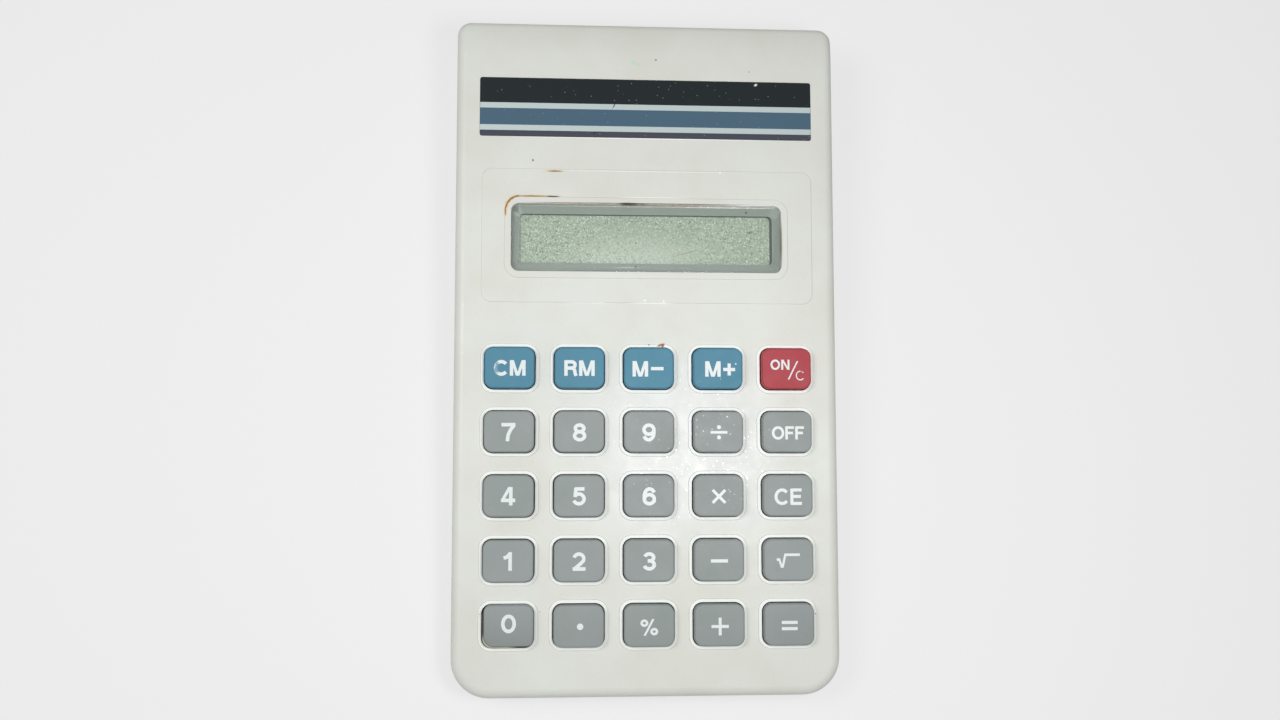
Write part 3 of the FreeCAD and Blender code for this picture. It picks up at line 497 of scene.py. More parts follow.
foil, tree, skin = finish("printed_aluminium_foil", 0.38)
skin.inputs["Specular IOR Level"].default_value = 0.1
place = on_face(tree)
along = add(tree, "SeparateXYZ", links={0: place}).outputs["Y"]
share = add(tree, "MapRange", {"From Min": PLATE_LOW, "From Max": PLATE_LOW + PLATE_LENGTH},
            {"Value": along})
ink_colour = flat_bands(tree, share.outputs[0], BANDS, linear)
metal = flat_bands(tree, share.outputs[0], BANDS, lambda ink: [float(ink == FOIL)] * 3 + [1.0])
ink_colour = lay_colour(tree, ink_colour, flecks(tree, place, FLECK_SPACING, FLECK_RADIUS), "#A9ADA8", 0.5)
ink_colour = lay_marks(tree, ink_colour, frayed(tree, place, 0.08, 0.4), PLATE_MARKS)
dull = add(tree, "MapRange", {"To Min": 0.0, "To Max": 0.35}, {"Value": metal})
rub = add(tree, "TexNoise", {"Scale": grain(RUB_GRAIN, metres=False), "Detail": 4.0}, {"Vector": place})
rubbed = add(tree, "MapRange", {"To Min": 0.3, "To Max": 0.5}, {"Value": rub.outputs[0]})
tree.links.new(ink_colour, skin.inputs["Base Color"])
tree.links.new(dull.outputs[0], skin.inputs["Metallic"])
tree.links.new(rubbed.outputs[0], skin.inputs["Roughness"])
dress(foil, "nameplate")

# %% [markdown]
# ## The display: clear window, grey border, speckled film
#
# The window is cast acrylic, clear and glossy. A thin flat pane hardly bends what is behind it, so it is
# made of a Transparent shader with a Glossy one laid on, and lamps reach the display without caustics. The
# share of gloss is Schlick's rule: a few percent face on, and all of it at a grazing angle. A Fresnel node
# would take the pane's lower face for the inside of a block and mirror everything there. Dust makes the
# gloss hazy in patches.

# %% Clear acrylic
SCHLICK_POWER = 5
DUST_PATCH, DUST_HAZE = 1.5, 0.12


def clear_pane(name, ior, gloss_roughness, tint="#FFFFFF"):
    """A flat clear sheet: see-through, with the shine of its material."""
    material = bpy.data.materials.new(name)
    material.use_nodes = True
    tree = material.node_tree
    tree.nodes.remove(tree.nodes["Principled BSDF"])
    through = add(tree, "BsdfTransparent", {"Color": linear(tint)})
    dust = add(tree, "TexNoise", {"Scale": grain(DUST_PATCH), "Detail": 5.0}, {"Vector": on_plastic(tree)})
    hazy = add(tree, "MapRange", {"From Min": 0.35, "From Max": 0.75, "To Min": gloss_roughness,
                                  "To Max": gloss_roughness + DUST_HAZE}, {"Value": dust.outputs[0]})
    shine = add(tree, "BsdfGlossy", links={"Roughness": hazy.outputs[0]})
    facing = add(tree, "LayerWeight", {"Blend": 0.5}).outputs["Facing"]
    grazing = add(tree, "Math", {1: SCHLICK_POWER}, {0: facing}, operation="POWER")
    mirror = add(tree, "MapRange", {"To Min": ((ior - 1) / (ior + 1)) ** 2}, {"Value": grazing.outputs[0]})
    pane = add(tree, "MixShader", links={0: mirror.outputs[0], 1: through.outputs[0], 2: shine.outputs[0]})
    tree.links.new(pane.outputs[0], tree.nodes["Material Output"].inputs["Surface"])
    return material


dress(clear_pane("clear_cast_acrylic", 1.49, 0.06), "display_window")
dress(clear_pane("soda_lime_glass", 1.52, 0.02, "#F2FAF5"), "lcd_front_glass", "lcd_rear_glass")

# %% [markdown]
# The border behind the window is a sheet of polystyrene with a grey print. It is smooth and even, with a
# slightly lighter cloud here and there, two dark specks, and a pale streak where the window is scratched.
# Two broad lighter patches, along the bottom and on the left, are painted light where the window's rim
# shades the border. Along the top a thin painted highlight stands for the window's bevelled edge catching
# the light.

# %% Printed grey border
BORDER_MARKS = [
    (DIRT, (18.8, 26.4), (0.18, 0.22), 0, 0.8),
    # painted light: a lighter patch along the bottom, where the rim shades the border
    ("#A7B3AC", (-6.0, 15.2), (30.0, 1.6), 0, 0.8),
    ("#DDE2DE", (-3.8, 15.75), (2.3, 0.1), 2, 0.8),
    # painted light: a lighter patch on the left, where the rim shades the border
    ("#A1ADA5", (-25.6, 20.5), (2.2, 7.0), 0, 0.8),
    # painted highlight: the window's bevelled top edge catching the light, whitest at the right
    ("#D5D6CB", (0.0, 27.27), (24.3, 0.1), 0, 0.8),
    (WHITE_SPECK_AND_HIGHLIGHT, (15.5, 27.27), (8.5, 0.1), 0, 0.8),
    (DIRT, (-2.0, 15.9), (0.25, 0.12), 0, 0.8),
]
BORDER_CLOUD = 7


def clouded(tree, point, size_mm, colour, second):
    """A colour that drifts to a second one in soft clouds."""
    cloud = add(tree, "TexNoise", {"Scale": grain(size_mm, metres=False), "Detail": 3.0}, {"Vector": point})
    return add(tree, "Mix", {6: linear(colour), 7: linear(second)}, {0: cloud.outputs[0]},
               data_type="RGBA").outputs[2]


grey_print, tree, skin = finish("printed_grey_polystyrene", 0.35, ior=1.55)
place = on_face(tree)
colour = clouded(tree, place, BORDER_CLOUD, "#8F9D93", "#98A69C")
colour = lay_marks(tree, colour, frayed(tree, place, 0.1, 0.4), BORDER_MARKS)
tree.links.new(colour, skin.inputs["Base Color"])
dress(grey_print, "display_border")

# %% [markdown]
# An idle liquid crystal display shows only its rear reflector, seen through the polarising film. That
# reflector is aluminium grit under a green-grey dye, so it glitters: its grains are a little lighter or
# darker than their neighbours. The film, the glasses and the reflector are glued together, so the grit is
# drawn in the film that the eye meets first. Two layers of Voronoi cells give light and dark grains of
# different sizes. Real grit is a few hundredths of a millimetre across, and is drawn coarser here so that
# it shows. The grains fade where the film has been rubbed smooth, and a painted shadow of the border lies
# along the right and the top of the opening. That shadow lies outside a rounded box that starts far to the
# left, so that its left side never shows.

# %% Polariser over a gritty reflector
FILM_CLOUD = 9
# size, colour channel that picks the grains, values at which they start to show and are full, shade
GRAINS = [(0.23, 1, 0.82, 0.90, "#586A53"), (0.2, 0, 0.80, 0.88, "#DCE8D8")]
# the painted shadow of the border lies outside this rounded box
BORDER_SHADOW = ((-100.0, 20.9), (123.22, 4.62), 0.85)
PALE_FILM, RUBBED_SMOOTH = ((-2.0, 17.5), (11.0, 3.2)), ((3.0, 19.5), (12.0, 3.6), -8)
FULL_GRIT, RUBBED_GRIT = 0.66, 0.34
FILM_MARKS = [
    ("#7E7B62", (7.9, 18.8), (2.5, 0.07), 16, 0.7),
    (DIRT, (19.6, 22.7), (0.5, 0.16), 10, 0.7),
    (DIRT, (-1.9, 20.5), (0.16, 0.14), 0, 0.7),
]
polariser, tree, skin = finish("polariser_on_gritty_reflector", 0.5, ior=1.49)
place = on_face(tree)
film = clouded(tree, place, FILM_CLOUD, "#93A590", "#A3B5A0")
film = lay_colour(tree, film, ellipse_mask(tree, place, *PALE_FILM, soft=0.9), "#C8D6C6", 0.6)
smooth = ellipse_mask(tree, place, *RUBBED_SMOOTH, soft=0.8)
gritty = add(tree, "MapRange", {"To Min": FULL_GRIT, "To Max": RUBBED_GRIT}, {"Value": smooth})
for size, channel, start, full, shade in GRAINS:
    cells = add(tree, "TexVoronoi", {"Scale": grain(size, metres=False)}, {"Vector": place})
    pick = add(tree, "SeparateColor", links={0: cells.outputs["Color"]})
    grains = add(tree, "MapRange", {"From Min": start, "From Max": full}, {"Value": pick.outputs[channel]})
    seen = add(tree, "Math", links={0: grains.outputs[0], 1: gritty.outputs[0]}, operation="MULTIPLY")
    film = lay_colour(tree, film, seen.outputs[0], shade, 1.0)
film = lay_marks(tree, film, frayed(tree, place, 0.1, 0.5), FILM_MARKS)
# painted shadow of the border along the right and the top of the opening
film = lay_colour(tree, film, outside_box(tree, place, *BORDER_SHADOW), "#2C3A33", 0.95)
tree.links.new(film, skin.inputs["Base Color"])
dress(polariser, "lcd_front_polarizer")

# %% [markdown]
# ## Legends, printed on the keys
#
# Each key has a white pad-printed mark in a bold grotesque letter. A grotesque letter is nearly one stroke
# wide all round, so each glyph here is a few strokes of one pen: arcs, straight bars, and slanted bars with
# level ends. The strokes become flat ribbons that float a hundredth of a millimetre over the key, a little
# higher than real ink, so that ink and key don't flicker. Drawing them this way needs no font file, and
# gives round corners and level cuts where such letters have them.

# %% Pen strokes
FEWEST_STEPS, STEP_ANGLE, SLANT_THINNING = 6, 9, 0.86


def arc(middle_x, middle_y, radius_x, radius_y, start, end):
    """Points along part of an ellipse, with angles in degrees."""
    steps = max(FEWEST_STEPS, int(abs(end - start) / STEP_ANGLE))
    angles = [math.radians(start + (end - start) * i / steps) for i in range(steps + 1)]
    return [(middle_x + radius_x * math.cos(a), middle_y + radius_y * math.sin(a)) for a in angles]


def ribbon(points, width):
    """The two edges of a stroke along points, mitred where it turns."""
    points = [Vector(p) for p in points]
    closed = (points[0] - points[-1]).length < 1e-9
    left, right = [], []
    for i, point in enumerate(points):
        before = points[i - 1] if i else (points[-2] if closed else None)
        after = points[i + 1] if i + 1 < len(points) else (points[1] if closed else None)
        pairs = ((before, point), (point, after))
        steps = [(b - a).normalized() for a, b in pairs if a is not None and b is not None]
        normals = [Vector((-s.y, s.x)) for s in steps]
        normal = sum(normals, Vector((0, 0))).normalized()
        reach = width / 2 / max(normal.dot(normals[0]), 0.5)
        left.append(point + normal * reach)
        right.append(point - normal * reach)
    return left, right


def slanted(start, end, width):
    """The edges of a straight bar whose two ends are level."""
    start, end = Vector(start), Vector(end)
    lean_width = width * (end - start).length / abs(end.y - start.y)
    side = Vector((lean_width / 2, 0))
    return [start - side, end - side], [start + side, end + side]


print("an O is", len(arc(0, 0, 1, 1, 0, 360)), "points round")

# %% [markdown]
# The table below is the alphabet. Heights run from 0 at the middle of the lowest stroke to 1 at the middle
# of the highest, so one letter height and one pen width set the whole legend. "pen" strokes have square
# ends, "slant" strokes have level ends, and "dot" is a disc, whose radius is in pen widths. A sign's
# strokes fill its width.

# %% The alphabet
GLYPHS = {
    "0": (0.76, [("pen", arc(0.38, 0.5, 0.38, 0.5, 0, 360))]),
    "1": (0.44, [("pen", [(0.44, -0.12), (0.44, 1.12)]), ("pen", [(0.0, 0.72), (0.2, 0.78), (0.4, 0.98)])]),
    "2": (0.68, [("pen", arc(0.33, 0.68, 0.33, 0.32, 165, -30) + [(0.36, 0.28), (0.05, 0.02)]),
                 ("pen", [(-0.1, 0.0), (0.78, 0.0)])]),
    "3": (0.68, [("pen", arc(0.33, 0.76, 0.30, 0.24, 165, -75)),
                 ("pen", arc(0.33, 0.27, 0.34, 0.27, 75, -165)), ("pen", [(0.22, 0.53), (0.42, 0.53)])]),
    "4": (0.76, [("pen", [(0.56, -0.12), (0.56, 1.12)]), ("pen", [(-0.1, 0.22), (0.86, 0.22)]),
                 ("slant", (0.0, 0.22), (0.50, 1.12))]),
    "5": (0.68, [("pen", [(0.06, 1.0), (0.70, 1.0)]), ("pen", [(0.13, 1.08), (0.06, 0.46)]),
                 ("pen", [(0.04, 0.5)] + arc(0.32, 0.33, 0.35, 0.33, 120, -160))]),
    "6": (0.68, [("pen", arc(0.34, 0.31, 0.34, 0.31, 0, 360)),
                 ("pen", arc(0.36, 0.52, 0.36, 0.48, 30, 180) + [(0.0, 0.31)])]),
    "7": (0.74, [("pen", [(-0.1, 1.0), (0.84, 1.0)]),
                 ("pen", [(0.76, 0.98), (0.52, 0.66), (0.36, 0.32), (0.30, -0.12)])]),
    "8": (0.68, [("pen", arc(0.34, 0.77, 0.29, 0.23, 0, 360)), ("pen", arc(0.34, 0.27, 0.34, 0.27, 0, 360))]),
    "9": (0.68, [("pen", arc(0.34, 0.69, 0.34, 0.31, 0, 360)),
                 ("pen", arc(0.32, 0.48, 0.36, 0.48, 210, 360) + [(0.68, 0.69)])]),
    "C": (0.86, [("pen", arc(0.46, 0.5, 0.46, 0.5, 40, 320))]),
    "E": (0.62, [("pen", [(0.0, -0.1), (0.0, 1.1)]), ("pen", [(0.0, 1.0), (0.74, 1.0)]),
                 ("pen", [(0.0, 0.52), (0.68, 0.52)]), ("pen", [(0.0, 0.0), (0.76, 0.0)])]),
    "F": (0.6, [("pen", [(0.0, -0.1), (0.0, 1.1)]), ("pen", [(0.0, 1.0), (0.7, 1.0)]),
                ("pen", [(0.0, 0.5), (0.6, 0.5)])]),
    "M": (0.98, [("pen", [(0.0, -0.12), (0.0, 1.12)]), ("pen", [(0.98, -0.12), (0.98, 1.12)]),
                 ("slant", (0.06, 1.12), (0.47, -0.12)), ("slant", (0.92, 1.12), (0.51, -0.12))]),
    "N": (0.76, [("pen", [(0.0, -0.1), (0.0, 1.1)]), ("pen", [(0.76, -0.1), (0.76, 1.1)]),
                 ("slant", (0.04, 1.1), (0.72, -0.1))]),
    "O": (0.92, [("pen", arc(0.46, 0.5, 0.46, 0.5, 0, 360))]),
    "R": (0.78, [("pen", [(0.0, -0.12), (0.0, 1.12)]),
                 ("pen", [(0.0, 1.0)] + arc(0.46, 0.75, 0.26, 0.25, 90, -90) + [(0.0, 0.5)]),
                 ("pen", [(0.46, 0.5), (0.62, 0.44), (0.70, 0.3), (0.72, 0.1), (0.80, -0.12)])]),
    "/": (0.5, [("slant", (0.0, 0.0), (0.5, 1.0))]),
    "-": (1.0, [("pen", [(0.0, 0.0), (1.0, 0.0)])]),
    "+": (1.0, [("pen", [(0.0, 0.5), (1.0, 0.5)]), ("pen", [(0.5, 0.0), (0.5, 1.0)])]),
    "x": (1.0, [("pen", [(0.07, 0.07), (0.93, 0.93)]), ("pen", [(0.07, 0.93), (0.93, 0.07)])]),
    "=": (1.0, [("pen", [(0.0, 0.0), (1.0, 0.0)]), ("pen", [(0.0, 0.38), (1.0, 0.38)])]),
    ":": (1.0, [("pen", [(0.0, 0.5), (1.0, 0.5)]), ("dot", (0.5, 0.2), 0.8), ("dot", (0.5, 0.8), 0.8)]),
    ".": (0.0, [("dot", (0.0, 0.0), 0.5)]),
    "%": (1.0, [("pen", arc(0.18, 0.80, 0.20, 0.18, 0, 360)), ("pen", arc(0.90, 0.19, 0.20, 0.18, 0, 360)),
                ("slant", (0.20, -0.1), (0.84, 1.1))]),
    "v": (1.7, [("pen", [(-0.06, 0.56), (0.14, 0.62)]), ("slant", (0.12, 0.68), (0.36, -0.06)),
                ("slant", (0.40, -0.06), (0.64, 1.0)), ("pen", [(0.56, 0.96), (1.80, 0.96)])]),
}
print("glyphs:", " ".join(GLYPHS))

# %% [markdown]
# Every legend is a list of words, each with its height, pen width, place on the key top and letter spacing
# in millimetres. The key's own top, found from its highest points, carries the origin.

# %% Which mark goes on which key
NUMERAL, FUNCTION = (3.3, 0.64), (2.9, 0.62)
LEGENDS = {
    "key_clear_memory": [("CM", *FUNCTION, 0.05, -0.08, 0.30)],
    "key_recall_memory": [("RM", *FUNCTION, 0.0, -0.10, 0.28)],
    "key_memory_minus": [("M", *FUNCTION, -1.60, -0.15, 0), ("-", 2.3, 0.6, 1.5, -0.10, 0)],
    "key_memory_plus": [("M", *FUNCTION, -0.97, -0.12, 0), ("+", 2.2, 0.6, 2.03, -0.2, 0)],
    "key_on_clear": [("ON", 1.9, 0.36, -1.25, 0.72, 0.22), ("/", 3.7, 0.3, 1.15, -0.3, 0),
                     ("C", 1.8, 0.2, 2.4, -1.26, 0)],
    "key_7": [("7", *NUMERAL, -0.08, -0.12, 0)],
    "key_8": [("8", *NUMERAL, 0.05, -0.14, 0)],
    "key_9": [("9", *NUMERAL, -0.05, -0.14, 0)],
    "key_divide": [(":", 3.1, 0.46, 0.08, -0.1, 0)],
    "key_off": [("OFF", 2.45, 0.48, 0.08, -0.2, 0.18)],
    "key_4": [("4", *NUMERAL, -0.08, 0.0, 0)],
    "key_5": [("5", *NUMERAL, 0.0, -0.06, 0)],
    "key_6": [("6", *NUMERAL, 0.0, -0.08, 0)],
    "key_multiply": [("x", 2.7, 0.52, 0.0, -0.12, 0)],
    "key_clear_entry": [("CE", 3.0, 0.56, 0.0, -0.2, 0.26)],
    "key_1": [("1", *NUMERAL, -0.08, 0.0, 0)],
    "key_2": [("2", *NUMERAL, 0.02, -0.08, 0)],
    "key_3": [("3", *NUMERAL, 0.0, -0.12, 0)],
    "key_subtract": [("-", 3.1, 0.58, 0.0, -0.11, 0)],
    "key_square_root": [("v", 2.75, 0.46, -0.15, -0.12, 0)],
    "key_0": [("0", *NUMERAL, 0.1, 0.5, 0)],
    "key_decimal_point": [(".", 1.15, 1.15, 0.25, -0.02, 0)],
    "key_percent": [("%", 2.9, 0.44, -0.05, -0.22, 0)],
    "key_add": [("+", 3.15, 0.54, 0.05, -0.18, 0)],
    "key_equals": [("=", 2.9, 0.56, 0.0, -0.12, 0)],
}
SIGNS = "-:=x+"
INK_LIFT, STROKE_LIFT, FLATNESS = 0.010, 0.001, 0.02


def key_top(node):
    """The middle and the height of a key's flat top, in millimetres on the face."""
    points = [room_to_face @ v.co / MM for v in frame["nodes"][node].data.vertices]
    height = max(p.z for p in points)
    flat = [p for p in points if p.z > height - FLATNESS]
    return Vector(((min(p.x for p in flat) + max(p.x for p in flat)) / 2,
                   (min(p.y for p in flat) + max(p.y for p in flat)) / 2, height))


print("top of key_0:", tuple(round(c, 2) for c in key_top("key_0")))

# %% [markdown]
# A word is laid out letter by letter and then centred by its own ink, as a printer's plate is. Signs such
# as plus and minus are sized by their width, letters by their height.

# %% Lay out a word as flat strokes
def word_strokes(text, spacing, size, pen):
    """The strokes of a word, centred on its ink, in millimetres."""
    strokes = []
    cursor = 0.0
    for letter in text:
        width, parts = GLYPHS[letter]
        scale = size if letter in SIGNS else size - pen
        for kind, *data in parts:
            if kind == "pen":
                left, right = ribbon([Vector(p) * scale for p in data[0]], pen)
            elif kind == "slant":
                left, right = slanted(*(Vector(p) * scale for p in data), pen * SLANT_THINNING)
            else:
                middle = Vector(data[0]) * scale
                radius = data[1] * pen
                left = [middle + Vector(p) for p in arc(0, 0, radius, radius, 180, 0)]
                right = [middle + Vector(p) for p in arc(0, 0, radius, radius, 180, 360)]
            strokes.append([[p + Vector((cursor, 0)) for p in side] for side in (left, right)])
        cursor += width * scale + pen + spacing
    inked = [p for sides in strokes for side in sides for p in side]
    centre = Vector(((min(p.x for p in inked) + max(p.x for p in inked)) / 2,
                     (min(p.y for p in inked) + max(p.y for p in inked)) / 2))
    return [[[p - centre for p in side] for side in sides] for sides in strokes]


print("strokes in CM:", len(word_strokes("CM", 0.3, *FUNCTION)))

# %% [markdown]
# ### Pad-printed ink
#
# Pad ink is a white enamel a few microns thick. It wears from its edges in and loses pinholes, so a noise
# mask lets the key's own colour through. On the first memory key the left of its C has been rubbed almost
# away.

# %% White ink for each key colour
PAD_WHITE, PINHOLE = "#DFE5E5", 0.22


def pad_ink(name, key_colour, worn_spot=None):
    """White enamel ink that has worn through to a key's colour."""
    material, tree, skin = finish(name, 0.4)
    place = on_face(tree)
    pinholes = add(tree, "TexNoise", {"Scale": grain(PINHOLE, metres=False), "Detail": 3.0},
                   {"Vector": place})
    worn = add(tree, "MapRange", {"From Min": 0.64, "From Max": 0.72, "To Max": 0.5},
               {"Value": pinholes.outputs[0]})
    colour = add(tree, "Mix", {6: linear(PAD_WHITE), 7: linear(key_colour)}, {0: worn.outputs[0]},
                 data_type="RGBA").outputs[2]
    if worn_spot:
        rub = ellipse_mask(tree, frayed(tree, place, 0.5, 0.7), *worn_spot, soft=0.35)
        colour = lay_colour(tree, colour, rub, key_colour, 0.85)
    tree.links.new(colour, skin.inputs["Base Color"])
    return material


WORN_C, THIN_C = ((-27.4, -3.3), (0.55, 1.0)), ((28.5, -3.5), (0.5, 0.35))
inks = {
    "blue": pad_ink("white_pad_ink_on_blue", KEY_BLUE),
    "red": pad_ink("white_pad_ink_on_red", KEY_RED, THIN_C),
    "grey": pad_ink("white_pad_ink_on_grey", KEY_GREY),
    "worn": pad_ink("white_pad_ink_rubbed", KEY_BLUE, WORN_C),
}
print("inks:", ", ".join(inks))

# %% [markdown]
# Each stroke's two edges become the two sides of a strip of four-cornered faces. A stroke lies a thousandth
# of a millimetre over the one before, so that crossing strokes don't flicker.

# %% Print every legend
def ink_for(node):
    """The ink that suits a key."""
    if node == "key_clear_memory":
        return inks["worn"]
    return inks["blue" if node in BLUE_KEYS else "red" if node == RED_KEY else "grey"]


for node, words in LEGENDS.items():
    top = key_top(node)
    corners, faces = [], []
    layer = 0
    for text, size, pen, shift_x, shift_y, spacing in words:
        for left, right in word_strokes(text, spacing, size, pen):
            base = len(corners)
            lift = INK_LIFT + STROKE_LIFT * layer
            layer += 1
            for p in left + right:
                spot = top + Vector((shift_x + p.x, shift_y + p.y, lift))
                corners.append(face_to_room @ (spot * MM))
            count = len(left)
            for i in range(count - 1):
                faces.append((base + i, base + count + i, base + count + i + 1, base + i + 1))
    mesh = bpy.data.meshes.new("legend_" + node[4:])
    mesh.from_pydata(corners, [], faces)
    mesh.materials.append(ink_for(node))
    legend = bpy.data.objects.new("legend_" + node[4:], mesh)
    bpy.context.scene.collection.objects.link(legend)
    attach(legend, node)
print("legends printed:", len(LEGENDS))

# %% [markdown]
# ## Inside the case
#
# The pieces behind the face are dressed too, because the case opens at the battery door and the part may be
# seen in pieces. Each starts from what it is: moulded rubber, paper laminate, epoxy, plated steel, plastic
# sleeves.

# %% Rubber, foam and the striped connector
def speckled(name, colour, second, size_mm, roughness, relief_mm=0.0, ior=1.5, metallic=0.0):
    """A material whose colour wavers between two shades at one scale."""
    material, tree, skin = finish(name, roughness, ior, metallic)
    noise = add(tree, "TexNoise", {"Scale": grain(size_mm), "Detail": 4.0}, {"Vector": on_plastic(tree)})
    shade = add(tree, "MapRange", {"From Min": 0.35, "From Max": 0.65}, {"Value": noise.outputs[0]})
    tint = add(tree, "Mix", {6: linear(colour), 7: linear(second)}, {0: shade.outputs[0]}, data_type="RGBA")
    tree.links.new(tint.outputs[2], skin.inputs["Base Color"])
    if relief_mm:
        relief = add(tree, "Bump", {"Strength": 1.0, "Distance": relief_mm * MM},
                     {"Height": noise.outputs[0]})
        tree.links.new(relief.outputs[0], skin.inputs["Normal"])
    return material


dress(speckled("moulded_silicone_rubber", "#C9CCC6", "#BFC3BD", 3.0, 0.55, 0.01, ior=1.41), "keypad_mat")
dress(speckled("open_cell_polyurethane_foam", "#4A4A4C", "#2C2C2E", 0.4, 0.95, 0.15), "lcd_support_strip")
dress(speckled("aluminised_reflector_film", "#B9C2B4", "#9FAA9A", 0.26, 0.4, metallic=0.3), "lcd_reflector")
WAVE_FACTOR = 20 / 6.2832  # a Wave texture of scale 1 repeats every 2 pi / 20
ZEBRA_PITCH = 0.36
zebra, tree, skin = finish("striped_silicone_connector", 0.6, ior=1.41)
stripes = add(tree, "TexWave", {"Scale": grain(ZEBRA_PITCH * WAVE_FACTOR)}, {"Vector": on_plastic(tree)},
              wave_type="BANDS", bands_direction="X")
step = add(tree, "Math", {1: 0.5}, {0: stripes.outputs[0]}, operation="GREATER_THAN")
tint = add(tree, "Mix", {6: linear("#D9D6CC"), 7: linear("#1D1D1F")}, {0: step.outputs[0]}, data_type="RGBA")
tree.links.new(tint.outputs[2], skin.inputs["Base Color"])
dress(zebra, "zebra_connector")

# %% [markdown]
# The board is paper soaked in phenolic resin, brown and faintly fibrous, with a green resist over copper
# tracks on its working side. The tracks here are bands of a wave bent by noise, which is how a hand-laid
# board of that time wanders. Over the bare chip sits a drop of black epoxy.

# %% Board, chip and components
TRACK_PITCH = 2.4  # a diagonal wave spreads this to 3.4 mm from track to track
WANDER, WANDER_LENGTH, RESIST_COVER = 3.0, 12, 0.8
laminate = speckled("phenolic_paper_laminate", "#8A5E33", "#7A5029", 1.2, 0.5)
tree = laminate.node_tree
skin = tree.nodes["Principled BSDF"]
wander = frayed(tree, on_face(tree), WANDER, WANDER_LENGTH)
tracks = add(tree, "TexWave", {"Scale": grain(TRACK_PITCH * WAVE_FACTOR, metres=False)}, {"Vector": wander},
             wave_type="BANDS", bands_direction="DIAGONAL")
copper = add(tree, "MapRange", {"From Min": 0.55, "From Max": 0.62}, {"Value": tracks.outputs[0]})
resist = add(tree, "Mix", {6: linear("#2F5A38"), 7: linear("#477A4C")}, {0: copper.outputs[0]},
             data_type="RGBA")
brown = skin.inputs["Base Color"].links[0].from_socket
board = add(tree, "Mix", {0: RESIST_COVER}, {6: brown, 7: resist.outputs[2]}, data_type="RGBA")
tree.links.new(board.outputs[2], skin.inputs["Base Color"])
dress(laminate, "circuit_board")
dress(speckled("cast_black_epoxy", "#161618", "#1E1E20", 2.0, 0.25, 0.05), "chip_blob")
dress(speckled("blue_pvc_sleeve", "#27406B", "#2E4874", 1.5, 0.3), "capacitor")
dress(speckled("tan_resistor_lacquer", "#C7A06C", "#BD955F", 0.8, 0.35), "resistors")

# %% [markdown]
# Screws, contacts and the spring are plated steel. A metal's colour is its reflection, so these keep a high
# metallic value, and the plating's crystals only stir the colour a little.

# %% Plated steel and wires
dress(speckled("zinc_plated_steel", "#B7BABD", "#A3A6AA", 0.5, 0.32, 0.004, metallic=1.0),
      "case_screws", "board_screws")
dress(speckled("nickel_plated_spring_steel", "#C4BFB4", "#B5AFA3", 0.7, 0.24, 0.003, metallic=1.0),
      "battery_positive_contact", "battery_negative_contact", "battery_spring")
dress(speckled("red_pvc_insulation", "#B3262B", "#A82025", 1.0, 0.4), "battery_positive_wire")
dress(speckled("black_pvc_insulation", "#1B1B1D", "#232326", 1.0, 0.4), "battery_negative_wire")

# %% [markdown]
# The cell is a steel can in a plastic jacket that is shrunk on and folds over its ends. The nub and the
# bare end are steel, the jacket is black with a copper-coloured shoulder band, and it carries no words.

# %% A plain AA cell
STEEL, BLACK, COPPER = "#B9BBBD", "#1A1A1C", "#A8642F"
METAL_SHARE = {STEEL: 1.0, COPPER: 0.6, BLACK: 0.0}
CELL_BANDS = [(0.0, STEEL), (0.012, BLACK), (0.70, COPPER), (0.965, STEEL)]
CRINKLE, CRINKLE_RELIEF = 4, 0.05
cell_low, cell_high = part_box("battery_cell")
jacket, tree, skin = finish("shrunk_pvc_jacket_on_steel", 0.3, ior=1.53)
place = on_plastic(tree)
lengthwise = add(tree, "SeparateXYZ", links={0: place}).outputs["X"]
share = add(tree, "MapRange", {"From Min": cell_low.x, "From Max": cell_high.x}, {"Value": lengthwise})
label = flat_bands(tree, share.outputs[0], CELL_BANDS, linear)
metal = flat_bands(tree, share.outputs[0], CELL_BANDS, lambda ink: [METAL_SHARE[ink]] * 3 + [1.0])
crinkle = add(tree, "TexNoise", {"Scale": grain(CRINKLE), "Detail": 3.0}, {"Vector": place})
relief = add(tree, "Bump", {"Strength": 1.0, "Distance": CRINKLE_RELIEF * MM}, {"Height": crinkle.outputs[0]})
tree.links.new(label, skin.inputs["Base Color"])
tree.links.new(metal, skin.inputs["Metallic"])
tree.links.new(relief.outputs[0], skin.inputs["Normal"])
dress(jacket, "battery_cell")

# %% [markdown]
# ## A small studio
#
# The floor is plain and pale. A small soft lamp stands close by, a little to the right of the camera: the
# satin plastic mirrors it between the keys, and it lays the shadow on the left. A larger one on the left
# evens the light out, and the room fills in the rest. Rays that go from the camera, a mirror or a pane
# straight to the room see plain white, but the light the room gives is set lower, so that a colour renders
# about as it is written.

# %% Floor and room light
HALF_FLOOR, FLOOR_GAP, PAPER_GLOW = 1.5, 0.0002, 0.72
floor_mesh = bpy.data.meshes.new("floor")
floor_corners = [(x * HALF_FLOOR, y * HALF_FLOOR, 0) for x, y in ((-1, -1), (1, -1), (1, 1), (-1, 1))]
floor_mesh.from_pydata(floor_corners, [], [(0, 1, 2, 3)])
floor = bpy.data.objects.new("floor", floor_mesh)
bpy.context.scene.collection.objects.link(floor)
floor.location.z = cad_box[0][2] - FLOOR_GAP
paper, tree, skin = finish("matt_studio_paper", 0.9)
skin.inputs["Base Color"].default_value = linear("#F0F0F0")
skin.inputs["Specular IOR Level"].default_value = 0.2
glow = add(tree, "Emission", {"Color": linear("#F2F2F2"), "Strength": 1.0})
to_eye = add(tree, "LightPath")
share = add(tree, "Math", {1: PAPER_GLOW}, {0: to_eye.outputs["Is Camera Ray"]}, operation="MULTIPLY")
pale = add(tree, "MixShader", links={0: share.outputs[0], 1: skin.outputs[0], 2: glow.outputs[0]})
tree.links.new(pale.outputs[0], tree.nodes["Material Output"].inputs["Surface"])
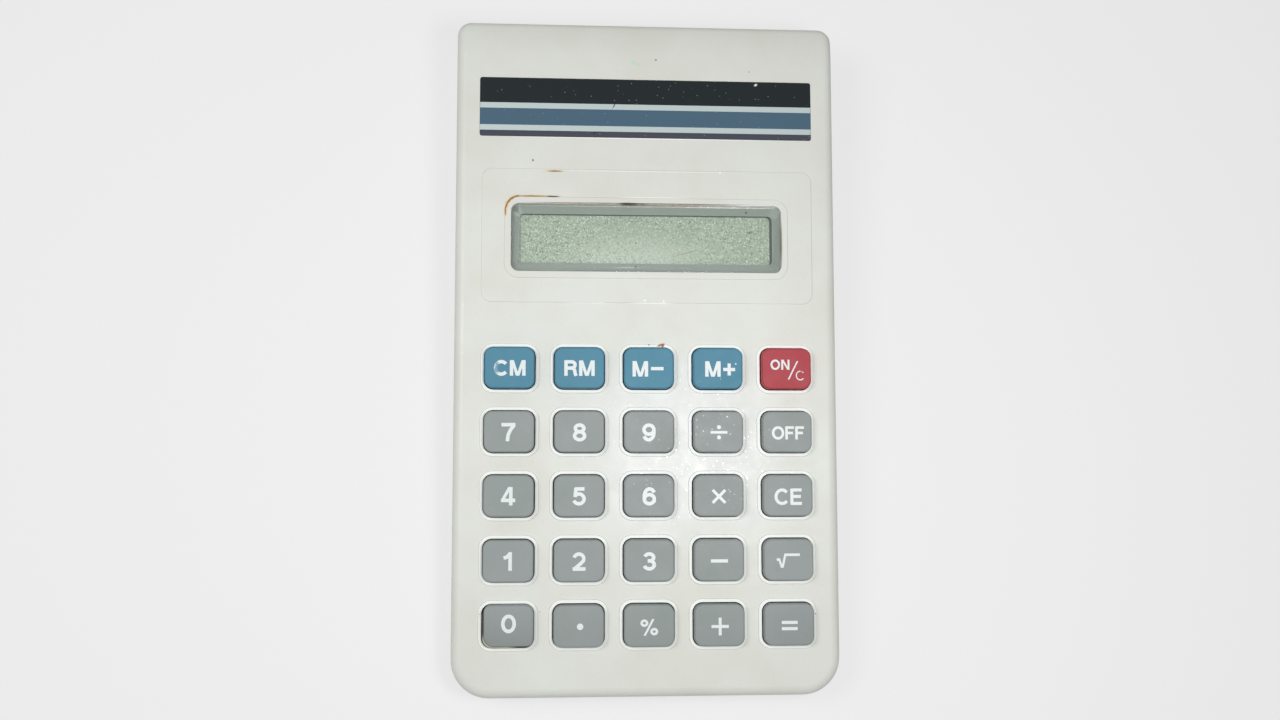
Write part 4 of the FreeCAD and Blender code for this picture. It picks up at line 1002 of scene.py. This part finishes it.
floor_mesh.materials.append(paper)

ROOM_LIGHT = 0.31
world = bpy.data.worlds.new("white_room")
bpy.context.scene.world = world
world.use_nodes = True
tree = world.node_tree
seen = add(tree, "LightPath")
direct = add(tree, "Math", links={0: seen.outputs["Is Camera Ray"], 1: seen.outputs["Is Glossy Ray"]},
             operation="MAXIMUM")
direct = add(tree, "Math", links={0: direct.outputs[0], 1: seen.outputs["Is Transmission Ray"]},
             operation="MAXIMUM")
level = add(tree, "MapRange", {"To Min": ROOM_LIGHT, "To Max": 1.0}, {"Value": direct.outputs[0]})
background = tree.nodes["Background"]
background.inputs["Color"].default_value = (1, 1, 1, 1)
tree.links.new(level.outputs[0], background.inputs["Strength"])
print("the room gives", ROOM_LIGHT, "of white")

# %% Lamps
def soft_lamp(name, place, aim, size, power):
    """A square soft lamp that looks at a point."""
    data = bpy.data.lights.new(name, "AREA")
    data.size = size
    data.energy = power
    lamp = bpy.data.objects.new(name, data)
    bpy.context.scene.collection.objects.link(lamp)
    lamp.location = place
    lamp.rotation_euler = (Vector(aim) - Vector(place)).to_track_quat("-Z", "Y").to_euler()


soft_lamp("near_lamp", (0.033, -0.035, 0.203), (0.0, 0.0, 0.0), 0.045, 0.155)
soft_lamp("far_lamp", (-0.155, 0.006, 0.30), (0.0, 0.0, 0.0), 0.12, 0.355)

# %% [markdown]
# ## The camera
#
# The calculator is seen from above its lower left, from about a hand's span away, so the far edges lean in
# slightly. The camera's place is easiest to say on the face's ruler, and the same matrix takes it to the
# room. The lens is a little shorter than normal, and a small shift slides the frame without tilting the
# view.

# %% Camera
PICTURE_WIDTH = 1280
FOCAL_PIXELS = 1200
camera_data = bpy.data.cameras.new("camera")
camera_data.lens = camera_data.sensor_width * FOCAL_PIXELS / PICTURE_WIDTH
camera_data.shift_x = 0.0134
camera_data.shift_y = -0.0050
camera_data.clip_start = 0.01
camera = bpy.data.objects.new("camera", camera_data)
bpy.context.scene.collection.objects.link(camera)
VIEWPOINT = Vector((-18.05, -19.01, 219.98))
VIEW_TURN = Euler([math.radians(a) for a in (4.826, -3.532, 0.0)])
camera.matrix_world = face_to_room @ Matrix.Translation(VIEWPOINT * MM) @ VIEW_TURN.to_matrix().to_4x4()
bpy.context.scene.camera = camera
bpy.context.scene.view_settings.view_transform = "Standard"
print("lens:", round(camera_data.lens, 2), "mm")
